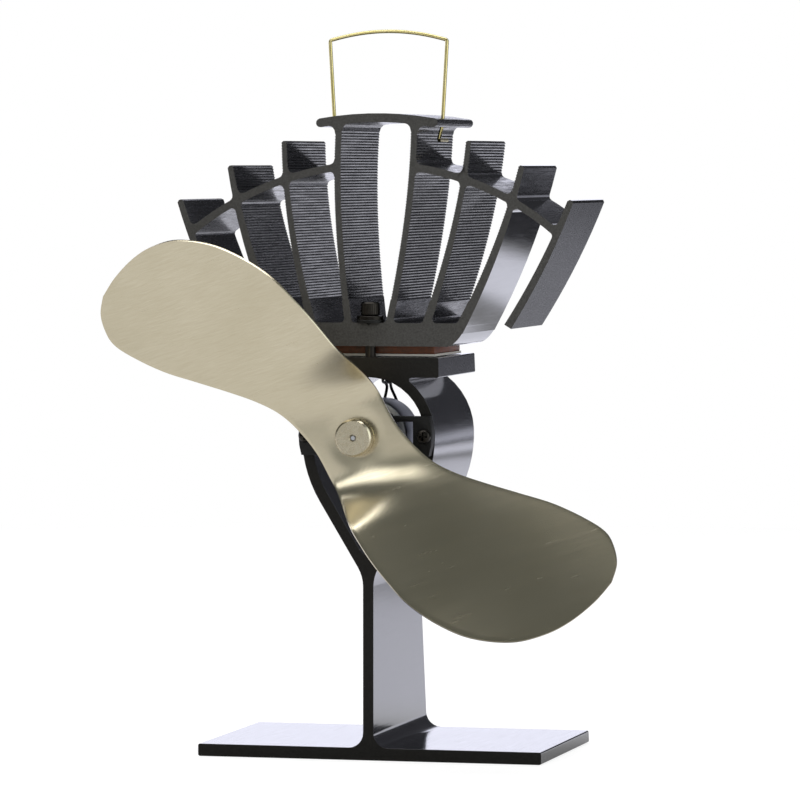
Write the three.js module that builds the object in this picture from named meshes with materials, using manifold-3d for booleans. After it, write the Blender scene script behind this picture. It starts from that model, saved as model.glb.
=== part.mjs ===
// A heat-powered stove fan: an extruded stand, a finned heat sink clamped on a thermoelectric module,
// a small motor in the stand's ring, a two-lobed blade and a wire handle.
// Millimetres. X runs to the right seen from the front, the fan faces -Y, and Z is up.
// Inside the model the stand's front face is Y = 0; the exported group is centred on the base.

import * as THREE from 'three';
import { mergeVertices } from 'three/addons/utils/BufferGeometryUtils.js';
import Module from 'manifold-3d';

const wasm = await Module();
wasm.setup();

// Clearances and overruns
const seatGap = 0.02;
const fitGap = 0.1;
const looseGap = 0.3;
const runningGap = 0.05;
const overrun = 2;

// Points nearer to each other than these count as one: in an outline, and in a mesh
const samePoint = 0.003;
const weld = 0.00001;

// Rounding of curves: the largest turn, in degrees, between two facets
const fineTurn = 9;
const coarseTurn = 15;
const smallTurn = 22.5;

// Stand: one extrusion whose back face leans forward
const base = { width: 142, depth: 90, thickness: 5, edge: 0.8, fillet: 6 };
const post = { thickness: 4.3, fillet: 15 };
const ring = { axisHeight: 130.5, bore: 23.2, wall: 4.3, swell: 24.5, flare: 31, vee: 4, fillet: 1 };
const platform = { width: 58, thickness: 8, edge: 0.6 };
const standBackLean = 10;

// Bosses for the bracket's screws, just outside the ring's bore
const boss = { out: 1.2, radius: 3 };

// Thermoelectric module between the platform and the heat sink. The seal goes round the cold plate
// and the pellets, and the hot plate stands a little proud of it.
const coldPlate = { size: 40, thickness: 0.9 };
const foil = { thickness: 0.25 };
const pellets = { inset: 0.5, thickness: 2 };
const seal = { front: 7, sideWall: 5.35, endWall: 1.6 };
const hotPlate = { sideProud: 0.5, endProud: 0.25, thickness: 0.9 };

// Heat sink: one extrusion with sawn faces that lean back. Cap and tie bend round one centre,
// which lies below the sink's underside.
const sink = { front: -0.4, pastSeal: 4.5, frontLean: 9, backLean: 12.5 };
const block = { thickness: 9.3, flatHalf: 32, cornerReach: 4.1, filletRadius: 1.6 };
const cap = { radius: 137.2, centreDrop: 45.92, thickness: 3.6, halfWidth: 25.2, filletRadius: 3 };
const tie = { belowCap: 18.8, thickness: 3, filletRadius: 1.8 };
const groove = { pitch: 1.13, depth: 0.35, start: 18.5 };

// Each fin's centre-line: its foot is measured from the sink's underside and middle, its tip stops short
// of the cap's circle, and its curve bends at a share of its run and of its rise
const fins = [
  {
    footX: 7.6, footRise: 4.6, tipX: 15.5, tipShort: 0.3,
    runShare: 1.16, riseShare: 0.57, footWall: 2.9, tipWall: 2.9,
  },
  {
    footX: 22.2, footRise: 4.6, tipX: 38.2, tipShort: 3.7,
    runShare: 0.87, riseShare: 0.54, footWall: 3.4, tipWall: 2.4,
  },
  {
    footX: 36.9, footRise: 6.1, tipX: 60.3, tipShort: 4.67,
    runShare: 0.7, riseShare: 0.49, footWall: 4, tipWall: 2.5,
  },
  {
    footX: 57, footRise: 8.1, tipX: 80.9, tipShort: 5.26,
    runShare: 0.61, riseShare: 0.48, footWall: 3.3, tipWall: 2.5,
  },
];
const finFacets = 9;
const finTipRound = 0.8;

// Clamp bolts, on the middle plane, one in front of the seal and one behind it
const bolt = {
  clear: 3, shank: 2.1, head: 3.8, headHeight: 5.2, socket: 1.85, socketDepth: 2.6, bite: 6,
};
const bush = { flange: 5.6, flangeHeight: 1.2, sleeve: 3, sleeveLength: 5 };
const spring = { outer: 5.4, thickness: 0.7, cone: 0.35 };

// Motor bracket, with its windows' distances from the cup and from the tab screws
const bracket = { depth: 5.4, height: 15.9, bar: 2.15, cupClear: 1.2, screwClear: 4.6 };
const cup = { radius: 11.5, wall: 2, floor: 2.5 };
const tabScrew = {
  shank: 1.4, head: 2.85, headHeight: 2.3, length: 12,
  crossReach: 1.8, crossWidth: 0.8, crossDepth: 1.3,
};
const motorScrew = {
  wallClear: 1.2, shank: 0.95, head: 1.8, headHeight: 1.4, bite: 2,
  crossReach: 1.2, crossWidth: 0.45, crossDepth: 0.7,
};

// Motor
const motor = { front: 7.5, radius: 14, length: 20, wall: 1, capThickness: 2 };
const bearing = { radius: 3, nose: 1.6, inner: 1 };
const magnet = { thickness: 2.5, frontClear: 2.5, rearClear: 6.5, halfAngle: 58 };
const armature = { airGap: 0.7, shoe: 1.7, shoeHalfAngle: 46, neck: 2.4, hub: 3 };
const winding = { hubClear: 0.6, shoeClear: 0.5, endClear: 0.4, wire: 1.6 };
const commutator = { radius: 2.5, length: 3.2, rearClear: 0.7 };
const brush = { width: 2, depth: 2, length: 1.4, inset: 0.6 };
const brushArm = { thickness: 0.4, below: 1.2, above: 6.2 };
const terminal = { thickness: 0.5, width: 2, tail: 3.6 };
const shaft = { radius: 1, frontRecess: 0.4, rearRecess: 0.2 };

// Blade, in its own axes: u along the lobes, v across them, both from the hub
const blade = { radius: 117.9, thickness: 1, hubY: -19.6, lean: 28 };
const bladeTwist = { foldAngle: 34.8, flatReach: 10.8, fullReach: 35.3, easeReach: 78.4, rootShare: 0.2 };
const bladeSection = { slope: 0.266, camber: 100, offset: 5.9 };
const bladeSteps = { along: 48, across: 7 };

// The blade's trailing edge from tip to tip, as shares of its radius. The leading edge is the same,
// turned half round.
const bladeEdgeShares = [
  [-1, 0], [-0.985, 0.058], [-0.95, 0.101], [-0.9, 0.132], [-0.82, 0.1385], [-0.7, 0.13],
  [-0.58, 0.105], [-0.46, 0.079], [-0.36, 0.0615], [-0.27, 0.058], [-0.18, 0.0775], [-0.09, 0.114],
  [0, 0.172], [0.09, 0.221], [0.18, 0.26], [0.27, 0.301], [0.36, 0.335], [0.46, 0.365],
  [0.58, 0.374], [0.7, 0.361], [0.82, 0.313], [0.9, 0.244], [0.95, 0.17], [0.985, 0.08], [1, 0],
];

// Hub knob and the collar behind the blade
const knob = { radius: 7.5, length: 4.9, bevel: 0.5, sink: 1.6 };
const collar = { radius: 4, length: 6 };

// Handle: a wire bail through two slots in the cap. Its foot, kink and top corner are measured from the
// slot: drops and the rise from the cap's middle line there, and X distances inwards or outwards.
const wire = { radius: 0.75, sides: 6, steps: 96 };
const slotHole = { inset: 3.1, behindFront: 19.23, halfLength: 2.1, halfWidth: 1.1 };
const handle = {
  footLength: 14, footIn: 1.2, footDrop: 7.1, kinkOut: 0.4, kinkDrop: 0.6, topOut: 2.3, topRise: 33.2,
};
const handleBend = { corner: 1, bowRun: 2.2, bow: 6.6 };

// Leads from the module to the motor's terminals, and the hole that they pass
const lead = { radius: 0.6, sides: 6, steps: 32 };
const leadHole = { x: -7.5, pastSeal: 6, radius: 2.3 };

// Heights and places that follow from the sizes above
const axisZ = ring.axisHeight;
const platformTop = axisZ + ring.bore + platform.thickness;
const hotPlateZ = platformTop + foil.thickness + 2 * seatGap;
const pelletZ = hotPlateZ + hotPlate.thickness + seatGap;
const coldPlateZ = pelletZ + pellets.thickness + seatGap;
const coldFoilZ = coldPlateZ + coldPlate.thickness + seatGap;
const sinkZ = coldFoilZ + foil.thickness + seatGap;
const blockTop = sinkZ + block.thickness;
const bendZ = sinkZ - cap.centreDrop;
const tieRadius = cap.radius - tie.belowCap;

const sealWidth = coldPlate.size + looseGap + 2 * seal.sideWall;
const sealDepth = coldPlate.size + looseGap + 2 * seal.endWall;
const sealRear = seal.front + sealDepth;
const moduleY = seal.front + sealDepth / 2;
const frontBoltY = seal.front - bolt.clear;
const rearBoltY = sealRear + bolt.clear;
const leadHoleY = sealRear + leadHole.pastSeal;

const bossReach = ring.bore + boss.out;
const motorScrewReach = cup.radius - cup.wall - motorScrew.head - motorScrew.wallClear;
const motorRear = motor.front + motor.length;

const tan = (degrees) => Math.tan(THREE.MathUtils.degToRad(degrees));
const sin = (degrees) => Math.sin(THREE.MathUtils.degToRad(degrees));
const cos = (degrees) => Math.cos(THREE.MathUtils.degToRad(degrees));

// Colours of the materials
const blackAnodised = { color: 0x1c1c1b, roughness: 0.45, metalness: 0.8 };
const champagne = { color: 0xb9b095, roughness: 0.35, metalness: 1 };
const brass = { color: 0xcfc48a, roughness: 0.25, metalness: 1 };
const steel = { color: 0x9fa1aa, roughness: 0.35, metalness: 1 };
const blackSteel = { color: 0x151515, roughness: 0.4, metalness: 0.7 };
const blackPlastic = { color: 0x1a1a1a, roughness: 0.6, metalness: 0 };
const whiteCeramic = { color: 0xf1f0ea, roughness: 0.6, metalness: 0 };
const orangeSilicone = { color: 0x7a3416, roughness: 0.55, metalness: 0 };
const graphite = { color: 0x3a3a3c, roughness: 0.7, metalness: 0.2 };
const copper = { color: 0xb06a3c, roughness: 0.35, metalness: 1 };
const bronze = { color: 0x9a7440, roughness: 0.5, metalness: 1 };
const ferrite = { color: 0x2b2b2d, roughness: 0.8, metalness: 0.1 };
const darkCable = { color: 0x1b1715, roughness: 0.6, metalness: 0 };

// Solids: a mesh's geometry as a manifold solid, and back

function solid(geometry) {
  const bare = geometry.clone();
  bare.deleteAttribute('normal');
  bare.deleteAttribute('uv');
  const merged = mergeVertices(bare, weld);
  return new wasm.Manifold(new wasm.Mesh({
    numProp: 3,
    vertProperties: merged.attributes.position.array,
    triVerts: new Uint32Array(merged.index.array),
  }));
}

function geometryOf(body) {
  const mesh = body.getMesh();
  const geometry = new THREE.BufferGeometry();
  geometry.setAttribute('position', new THREE.BufferAttribute(mesh.vertProperties, 3));
  geometry.setIndex(new THREE.BufferAttribute(mesh.triVerts, 1));
  return geometry;
}

function cutFrom(geometry, cutters) {
  return geometryOf(cutters.reduce((body, cutter) => body.subtract(solid(cutter)), solid(geometry)));
}

function joined(geometries) {
  return geometryOf(geometries.map(solid).reduce((body, part) => body.add(part)));
}

// Outlines, as lists of points with X to the right and Z up

function arc(x, z, radius, from, to, turn = fineTurn) {
  const steps = Math.max(1, Math.ceil(Math.abs(to - from) / turn));
  return Array.from({ length: steps + 1 }, (_, i) => {
    const angle = from + (to - from) * i / steps;
    return new THREE.Vector2(x + radius * cos(angle), z + radius * sin(angle));
  });
}

function circle(x, z, radius, turn = fineTurn) {
  return arc(x, z, radius, 0, 360, turn).slice(1);
}

function mirrored(points) {
  return points.map((p) => new THREE.Vector2(-p.x, p.y)).reverse();
}

// A list of points as a closed outline, with repeated points left out
function closedShape(points) {
  const apart = points.filter((p, i) => p.distanceTo(points[(i + 1) % points.length]) > samePoint);
  return new THREE.Shape(apart);
}

function rectangle(x0, z0, x1, z1) {
  return [[x0, z0], [x1, z0], [x1, z1], [x0, z1]].map(([x, z]) => new THREE.Vector2(x, z));
}

// Prisms along Y. A unit prism is one long; it is placed between a front and a back plane afterwards.

function unitPrism(points, overrunShare = 0) {
  const geometry = new THREE.ExtrudeGeometry(closedShape(points), { depth: 1, bevelEnabled: false });
  const position = geometry.attributes.position;
  for (let i = 0; i < position.count; i += 1) {
    position.setZ(i, position.getZ(i) * (1 + 2 * overrunShare) - overrunShare);
  }
  return geometry;
}

// Each plane is a function from height to Y
function betweenPlanes(geometry, front, back) {
  const position = geometry.attributes.position;
  for (let i = 0; i < position.count; i += 1) {
    const z = position.getY(i);
    const share = 1 - position.getZ(i);
    position.setXYZ(i, position.getX(i), THREE.MathUtils.lerp(front(z), back(z), share), z);
  }
  return geometry;
}

function prism(points, front, back) {
  return betweenPlanes(unitPrism(points), () => front, () => back);
}

// A turned piece: its profile lists radius and place along the axis, anticlockwise
function turned(profile, turn = coarseTurn) {
  const points = profile.map(([radius, along]) => new THREE.Vector2(radius, along));
  return new THREE.LatheGeometry(points, Math.round(360 / turn));
}

function rod(radius, from, to, turn = coarseTurn) {
  return turned([[0, from], [radius, from], [radius, to], [0, to]], turn);
}

function tube(bore, radius, from, to, turn = coarseTurn) {
  return turned([[bore, from], [radius, from], [radius, to], [bore, to], [bore, from]], turn);
}

// A turned piece stood on end, so that its axis is Z
function upright(geometry) {
  return geometry.rotateX(Math.PI / 2);
}

function boxAt(x0, x1, y0, y1, z0, z1) {
  const box = new THREE.BoxGeometry(x1 - x0, y1 - y0, z1 - z0);
  return box.translate((x0 + x1) / 2, (y0 + y1) / 2, (z0 + z1) / 2);
}

function pipe(curve, radius, sides, steps) {
  const section = new THREE.Shape(circle(0, 0, radius, 360 / sides));
  return new THREE.ExtrudeGeometry(section, { extrudePath: curve, steps, bevelEnabled: false });
}

// Stand

function standOutline() {
  const t = post.thickness / 2;
  const outer = ring.bore + ring.wall;
  const swellOuter = outer + ring.swell;
  const flareX = -ring.swell + swellOuter * cos(ring.flare);
  const flareZ = axisZ - swellOuter * sin(ring.flare);
  const neckX = t + post.fillet * (1 - cos(ring.flare));
  const neckZ = flareZ + (neckX - flareX) / tan(ring.flare) - post.fillet * sin(ring.flare);
  const top = platformTop;
  const underside = top - platform.thickness;
  const filletZ = underside - ring.fillet;
  const filletX = Math.sqrt((outer + ring.fillet) ** 2 - (filletZ - axisZ) ** 2);
  const filletAngle = THREE.MathUtils.radToDeg(Math.atan2(filletZ - axisZ, filletX));
  const wing = platform.width / 2;
  const right = [
    ...arc(base.width / 2 - base.edge, base.edge, base.edge, -90, 0, coarseTurn * 2),
    ...arc(base.width / 2 - base.edge, base.thickness - base.edge, base.edge, 0, 90, coarseTurn * 2),
    ...arc(t + base.fillet, base.thickness + base.fillet, base.fillet, 270, 180, coarseTurn),
    ...arc(t + post.fillet, neckZ, post.fillet, 180, 180 - ring.flare),
    ...arc(-ring.swell, axisZ, swellOuter, -ring.flare, 0, fineTurn / 2),
    ...arc(0, axisZ, outer, 0, filletAngle),
    ...arc(filletX, filletZ, ring.fillet, 180 + filletAngle, 90, coarseTurn),
    ...arc(wing - platform.edge, underside + platform.edge, platform.edge, -90, 0, coarseTurn * 2),
    ...arc(wing - platform.edge, top - platform.edge, platform.edge, 0, 90, coarseTurn * 2),
  ];
  return [...right, ...mirrored(right)];
}

function ringOutline() {
  const swellInner = ring.bore + ring.swell;
  const flareX = -ring.swell + swellInner * cos(ring.flare);
  const flareZ = axisZ - swellInner * sin(ring.flare);
  const veeZ = flareZ + (ring.vee - flareX * cos(ring.flare)) / sin(ring.flare);
  const right = [
    ...arc(0, veeZ, ring.vee, -90, -ring.flare, coarseTurn),
    ...arc(-ring.swell, axisZ, swellInner, -ring.flare, 0, fineTurn / 2),
    ...arc(0, axisZ, ring.bore, 0, 90),
  ];
  return [...right, ...mirrored(right)];
}

function standBack(z) {
  return base.depth - tan(standBackLean) * z;
}

function standGeometry() {
  const screwHole = tabScrew.shank + fitGap;
  let body = solid(unitPrism(standOutline())).subtract(solid(unitPrism(ringOutline(), 1)));
  for (const side of [-1, 1]) {
    body = body.add(solid(unitPrism(circle(side * bossReach, axisZ, boss.radius, smallTurn))));
    body = body.subtract(solid(unitPrism(circle(side * bossReach, axisZ, screwHole, smallTurn), 1)));
  }
  const stand = betweenPlanes(geometryOf(body), () => 0, standBack);
  const boltHoleEnd = platformTop - bolt.bite - looseGap;
  const boltHole = upright(rod(bolt.shank + fitGap, boltHoleEnd, platformTop + overrun));
  const leadWay = upright(rod(leadHole.radius, axisZ, platformTop + overrun));
  return cutFrom(stand, [
    boltHole.clone().translate(0, frontBoltY, 0),
    boltHole.clone().translate(0, rearBoltY, 0),
    leadWay.translate(leadHole.x, leadHoleY, 0),
  ]);
}

// Thermoelectric module

function plateGeometry(width, depth, z, thickness) {
  return boxAt(-width / 2, width / 2, moduleY - depth / 2, moduleY + depth / 2, z, z + thickness);
}

function sealGeometry() {
  const body = plateGeometry(sealWidth, sealDepth, pelletZ, sinkZ - seatGap - pelletZ);
  const opening = coldPlate.size + looseGap;
  const hollow = plateGeometry(opening, opening, platformTop, sinkZ - platformTop + overrun);
  return cutFrom(body, [hollow]);
}

// Heat sink

function finCurve(fin) {
  const foot = new THREE.Vector2(fin.footX, sinkZ + fin.footRise);
  const tipRadius = cap.radius - fin.tipShort;
  const tip = new THREE.Vector2(fin.tipX, bendZ + Math.sqrt(tipRadius ** 2 - fin.tipX ** 2));
  const bend = new THREE.Vector2(
    foot.x + (tip.x - foot.x) * fin.runShare,
    foot.y + (tip.y - foot.y) * fin.riseShare,
  );
  return new THREE.QuadraticBezierCurve(foot, bend, tip);
}

// A point on one face of a fin, at a share of the curve's length
function finFace(fin, curve, share, side, depth = 0) {
  const centre = curve.getPointAt(share);
  const along = curve.getTangentAt(share);
  const half = THREE.MathUtils.lerp(fin.footWall, fin.tipWall, share) / 2 - depth;
  return new THREE.Vector2(centre.x + side * along.y * half, centre.y - side * along.x * half);
}

// One face of a fin from foot to tip, with V grooves above the smooth band if it is grooved
function finFacePoints(fin, curve, side, grooved) {
  const length = curve.getLength();
  const tipRound = finTipRound / length;
  if (!grooved) {
    return Array.from({ length: finFacets + 1 }, (_, i) => (
      finFace(fin, curve, (1 - tipRound) * i / finFacets, side)
    ));
  }
  const start = (groove.start - fin.footRise) / length;
  const smooth = Array.from({ length: 3 }, (_, i) => finFace(fin, curve, start * i / 2, side));
  const count = Math.floor((1 - tipRound - start) * length / groove.pitch);
  const step = (1 - tipRound - start) / (2 * count);
  const ribs = Array.from({ length: 2 * count }, (_, i) => (
    finFace(fin, curve, start + step * (i + 1), side, i % 2 === 0 ? groove.depth : 0)
  ));
  return [...smooth, ...ribs];
}

// The tip is cut square, with its two corners taken off
function finOutline(fin, grooved) {
  const curve = finCurve(fin);
  const nip = Math.min(finTipRound, fin.tipWall / 3);
  const tip = [1, -1].map((side) => finFace(fin, curve, 1, side, nip));
  return [
    ...finFacePoints(fin, curve, 1, grooved.outer),
    ...tip,
    ...finFacePoints(fin, curve, -1, grooved.inner).reverse(),
  ];
}

function blockOutline() {
  const fin = fins[2];
  const curve = finCurve(fin);
  const share = shareAtHeight(curve, blockTop);
  const rim = finFace(fin, curve, share, 1);
  const flat = new THREE.Vector2(block.flatHalf, sinkZ);
  const knee = new THREE.Vector2(block.flatHalf + block.cornerReach, sinkZ);
  const corner = new THREE.QuadraticBezierCurve(flat, knee, rim).getPoints(finFacets);
  const inner = new THREE.Vector2(curve.getPointAt(share).x, blockTop);
  return [...corner, inner, ...mirrored([...corner, inner])];
}

// The share of a curve's length at which a measure of its points first passes zero
function shareWhere(curve, measure) {
  let low = 0;
  let high = 1;
  for (let i = 0; i < 40; i += 1) {
    const middle = (low + high) / 2;
    if (measure(curve.getPointAt(middle)) < 0) low = middle;
    else high = middle;
  }
  return (low + high) / 2;
}

function shareAtHeight(curve, z) {
  return shareWhere(curve, (p) => p.y - z);
}

function shareAtRadius(curve, radius) {
  return shareWhere(curve, (p) => Math.hypot(p.x, p.y - bendZ) - radius);
}

// A bar bent round the centre of cap and tie, between two angles from upright
function bentBar(radius, thickness, from, to) {
  const turn = fineTurn / 3;
  return [
    ...arc(0, bendZ, radius + thickness / 2, 90 - from, 90 - to, turn),
    ...arc(0, bendZ, radius - thickness / 2, 90 - to, 90 - from, turn),
  ];
}

function angleFromUpright(p) {
  return THREE.MathUtils.radToDeg(Math.atan2(p.x, p.y - bendZ));
}

function tieOutline() {
  const [from, to] = [fins[0], fins[3]].map((fin) => {
    const curve = finCurve(fin);
    return angleFromUpright(curve.getPointAt(shareAtRadius(curve, tieRadius)));
  });
  return bentBar(tieRadius, tie.thickness, from, to);
}

function capOutline() {
  const end = THREE.MathUtils.radToDeg(Math.asin((cap.halfWidth - cap.thickness / 2) / cap.radius));
  const round = cap.thickness / 2;
  const x = cap.radius * sin(end);
  const z = bendZ + cap.radius * cos(end);
  return [
    ...arc(0, bendZ, cap.radius - round, 90 + end, 90 - end, fineTurn / 3),
    ...arc(x, z, round, -90 - end, 90 - end, coarseTurn * 2),
    ...arc(0, bendZ, cap.radius + round, 90 - end, 90 + end, fineTurn / 3),
    ...arc(-x, z, round, 90 + end, 270 + end, coarseTurn * 2),
  ];
}

// A web that rounds the inside corner between two bars that cross at a point.
// a and b point along the two bars away from it; aHalf and bHalf are the bars' half thicknesses.
function filletOutline(crossing, a, b, aHalf, bHalf, radius) {
  const slant = Math.abs(a.x * b.y - a.y * b.x);
  const corner = crossing.clone().addScaledVector(a, bHalf / slant).addScaledVector(b, aHalf / slant);
  const halfAngle = Math.acos(THREE.MathUtils.clamp(a.dot(b), -1, 1)) / 2;
  const bisector = a.clone().add(b).normalize();
  const centre = corner.clone().addScaledVector(bisector, radius / Math.sin(halfAngle));
  const reach = radius / Math.tan(halfAngle);
  const bury = groove.depth * 2;
  const onA = corner.clone().addScaledVector(a, reach);
  const onB = corner.clone().addScaledVector(b, reach);
  const angleOf = (p) => THREE.MathUtils.radToDeg(Math.atan2(p.y - centre.y, p.x - centre.x));
  let sweep = angleOf(onB) - angleOf(onA);
  if (sweep > 180) sweep -= 360;
  if (sweep < -180) sweep += 360;
  const hollow = arc(centre.x, centre.y, radius, angleOf(onA), angleOf(onA) + sweep, coarseTurn * 2);
  const outA = onA.clone().sub(centre).normalize();
  const outB = onB.clone().sub(centre).normalize();
  return [
    corner.clone().addScaledVector(bisector, -bury),
    onA.clone().addScaledVector(outA, bury),
    ...hollow,
    onB.clone().addScaledVector(outB, bury),
  ];
}

function finHalfWall(fin, share) {
  return THREE.MathUtils.lerp(fin.footWall, fin.tipWall, share) / 2;
}

// Fillets where a fin rises from the block
function footFillets(fin, sides) {
  const curve = finCurve(fin);
  const share = shareAtHeight(curve, blockTop);
  const foot = curve.getPointAt(share);
  const up = curve.getTangentAt(share);
  const half = finHalfWall(fin, share);
  return sides.map((side) => (
    filletOutline(foot, up, new THREE.Vector2(side, 0), half, 0, block.filletRadius)
  ));
}

// Fillets where a fin crosses the tie or meets the cap
function crossingFillets(fin, radius, barHalf, filletRadius, sides, ways) {
  const curve = finCurve(fin);
  const share = shareAtRadius(curve, radius);
  const crossing = curve.getPointAt(share);
  const out = THREE.MathUtils.degToRad(angleFromUpright(crossing));
  const along = new THREE.Vector2(Math.cos(out), -Math.sin(out));
  const up = curve.getTangentAt(share);
  return sides.flatMap((side) => ways.map((way) => (
    filletOutline(
      crossing,
      up.clone().multiplyScalar(way),
      along.clone().multiplyScalar(side),
      finHalfWall(fin, share),
      barHalf,
      filletRadius,
    )
  )));
}

// Which faces of each fin carry grooves
const groovedFaces = [
  { inner: true, outer: true },
  { inner: true, outer: true },
  { inner: true, outer: false },
  { inner: false, outer: false },
];

function rightHalfOutlines() {
  const tieHalf = tie.thickness / 2;
  const capUnderside = cap.radius - cap.thickness / 2;
  return [
    ...fins.map((fin, i) => finOutline(fin, groovedFaces[i])),
    tieOutline(),
    ...footFillets(fins[0], [-1, 1]),
    ...footFillets(fins[1], [-1, 1]),
    ...footFillets(fins[2], [-1]),
    ...crossingFillets(fins[0], tieRadius, tieHalf, tie.filletRadius, [1], [-1, 1]),
    ...crossingFillets(fins[1], tieRadius, tieHalf, tie.filletRadius, [-1, 1], [-1, 1]),
    ...crossingFillets(fins[2], tieRadius, tieHalf, tie.filletRadius, [-1, 1], [-1, 1]),
    ...crossingFillets(fins[3], tieRadius, tieHalf, tie.filletRadius, [-1], [-1, 1]),
    ...crossingFillets(fins[0], capUnderside, 0, cap.filletRadius, [-1, 1], [-1]),
  ];
}

function sinkFront(z) {
  return sink.front + tan(sink.frontLean) * (z - sinkZ);
}

function sinkBack(z) {
  return sealRear + sink.pastSeal + tan(sink.backLean) * (z - sinkZ);
}

// Where a slot's middle crosses the cap's middle line
const slotX = cap.halfWidth - slotHole.inset;
const slotZ = bendZ + Math.sqrt(cap.radius ** 2 - slotX ** 2);
const slotY = sinkFront(slotZ) + slotHole.behindFront;

function slotCutter(side) {
  const slot = rod(slotHole.halfWidth, -cap.thickness, cap.thickness, smallTurn);
  slot.scale(slotHole.halfLength / slotHole.halfWidth, 1, 1);
  return upright(slot).translate(side * slotX, slotY, slotZ);
}

function heatSinkGeometry() {
  const half = rightHalfOutlines();
  const outlines = [blockOutline(), capOutline(), ...half, ...half.map(mirrored)];
  const flat = joined(outlines.map((points) => unitPrism(points)));
  const leaned = betweenPlanes(flat, sinkFront, sinkBack);
  const bushHole = upright(rod(bush.sleeve + fitGap, sinkZ - overrun, blockTop + overrun));
  return cutFrom(leaned, [
    bushHole.clone().translate(0, frontBoltY, 0),
    bushHole.clone().translate(0, rearBoltY, 0),
    slotCutter(-1),
    slotCutter(1),
  ]);
}

// Clamp bolts, each with a flanged bush and two cone washers, from the block's top upwards

const springZ = blockTop + seatGap + bush.flangeHeight;
const springPitch = spring.thickness + seatGap;
const headZ = springZ + 2 * springPitch + spring.cone + seatGap;

function bushGeometry() {
  const bore = bolt.shank + fitGap;
  const end = blockTop - bush.sleeveLength;
  const seat = blockTop + seatGap;
  const top = seat + bush.flangeHeight;
  return upright(turned([
    [bore, end], [bush.sleeve, end], [bush.sleeve, seat], [bush.flange, seat],
    [bush.flange, top], [bore, top], [bore, end],
  ]));
}

function springGeometry(level) {
  const low = springZ + seatGap + level * springPitch;
  const bore = bolt.shank + fitGap;
  return upright(turned([
    [bore, low + spring.cone], [spring.outer, low], [spring.outer, low + spring.thickness],
    [bore, low + spring.cone + spring.thickness], [bore, low + spring.cone],
  ]));
}

function clampBoltGeometry() {
  const top = headZ + bolt.headHeight;
  const body = upright(turned([
    [0, platformTop - bolt.bite], [bolt.shank, platformTop - bolt.bite], [bolt.shank, headZ],
    [bolt.head, headZ], [bolt.head, top], [0, top],
  ]));
  const socket = upright(rod(bolt.socket, top - bolt.socketDepth, top + overrun, 60));
  return cutFrom(body, [socket]);
}

// Motor bracket: a plate with two windows and a cup that carries the motor

function bracketGeometry() {
  const half = bracket.height / 2;
  const reach = bossReach + boss.radius;
  const corner = THREE.MathUtils.radToDeg(Math.asin(half / reach));
  const right = arc(0, axisZ, reach, -corner, corner);
  const front = -seatGap - bracket.depth;
  const cupBack = motor.front - seatGap;
  const floor = cupBack - cup.floor;
  const windowHalf = half - bracket.bar;
  const plate = prism([...right, ...mirrored(right)], front, -seatGap);
  const windowIn = cup.radius + bracket.cupClear;
  const windowOut = bossReach - bracket.screwClear;
  const window = rectangle(windowIn, axisZ - windowHalf, windowOut, axisZ + windowHalf);
  const cupBody = rod(cup.radius, front, cupBack).translate(0, 0, axisZ);
  const cupHollow = rod(cup.radius - cup.wall, front - overrun, floor);
  const noseHole = rod(bearing.radius + fitGap, floor - overrun, cupBack + overrun);
  const tabHole = rod(tabScrew.shank + fitGap, front - overrun, overrun, smallTurn);
  const motorHole = rod(motorScrew.shank + fitGap, floor - overrun, cupBack + overrun, smallTurn);
  return cutFrom(joined([plate, cupBody]), [
    prism(window, front - overrun, overrun),
    prism(mirrored(window), front - overrun, overrun),
    cupHollow.translate(0, 0, axisZ),
    noseHole.translate(0, 0, axisZ),
    tabHole.clone().translate(-bossReach, 0, axisZ),
    tabHole.clone().translate(bossReach, 0, axisZ),
    motorHole.clone().translate(-motorScrewReach, 0, axisZ),
    motorHole.clone().translate(motorScrewReach, 0, axisZ),
  ]);
}

// A pan-head screw along Y, with a cross in its head
function screwGeometry(screw, headBack, tip) {
  const headFront = headBack - screw.headHeight;
  const crown = screw.headHeight / 3;
  const body = turned([
    [0, headFront], [screw.head - crown, headFront], [screw.head, headFront + crown],
    [screw.head, headBack], [screw.shank, headBack], [screw.shank, tip], [0, tip],
  ], smallTurn);
  const reach = screw.crossReach;
  const half = screw.crossWidth / 2;
  const bottom = headFront + screw.crossDepth;
  return cutFrom(body, [
    boxAt(-reach, reach, headFront - overrun, bottom, -half, half),
    boxAt(-half, half, headFront - overrun, bottom, -reach, reach),
  ]);
}

function tabScrewGeometry() {
  const head = -bracket.depth - 2 * seatGap;
  return screwGeometry(tabScrew, head, head + tabScrew.length);
}

function motorScrewGeometry() {
  const head = motor.front - 2 * seatGap - cup.floor;
  return screwGeometry(motorScrew, head, motor.front + motorScrew.bite);
}

// Motor, along Y with its front face at motor.front

function canGeometry() {
  const bore = bearing.radius + fitGap;
  const inner = motor.radius - motor.wall;
  const can = turned([
    [bore, motor.front], [motor.radius, motor.front], [motor.radius, motorRear], [inner, motorRear],
    [inner, motor.front + motor.wall], [bore, motor.front + motor.wall], [bore, motor.front],
  ]);
  const [from, to] = [motor.front - overrun, motor.front + motor.wall + overrun];
  const hole = rod(motorScrew.shank + fitGap, from, to, smallTurn);
  return cutFrom(can, [
    hole.clone().translate(-motorScrewReach, 0, 0),
    hole.clone().translate(motorScrewReach, 0, 0),
  ]);
}

function endCapGeometry() {
  const front = motorRear - motor.capThickness;
  const body = tube(bearing.radius + fitGap, motor.radius - motor.wall - fitGap, front, motorRear);
  const slots = [-1, 1].map((side) => {
    const x = side * terminalReach;
    return boxAt(
      x - terminal.thickness / 2 - fitGap, x + terminal.thickness / 2 + fitGap,
      front - overrun, motorRear + overrun,
      terminalZ - terminal.width / 2 - fitGap, terminalZ + terminal.width / 2 + fitGap,
    );
  });
  return cutFrom(body, slots);
}

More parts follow.
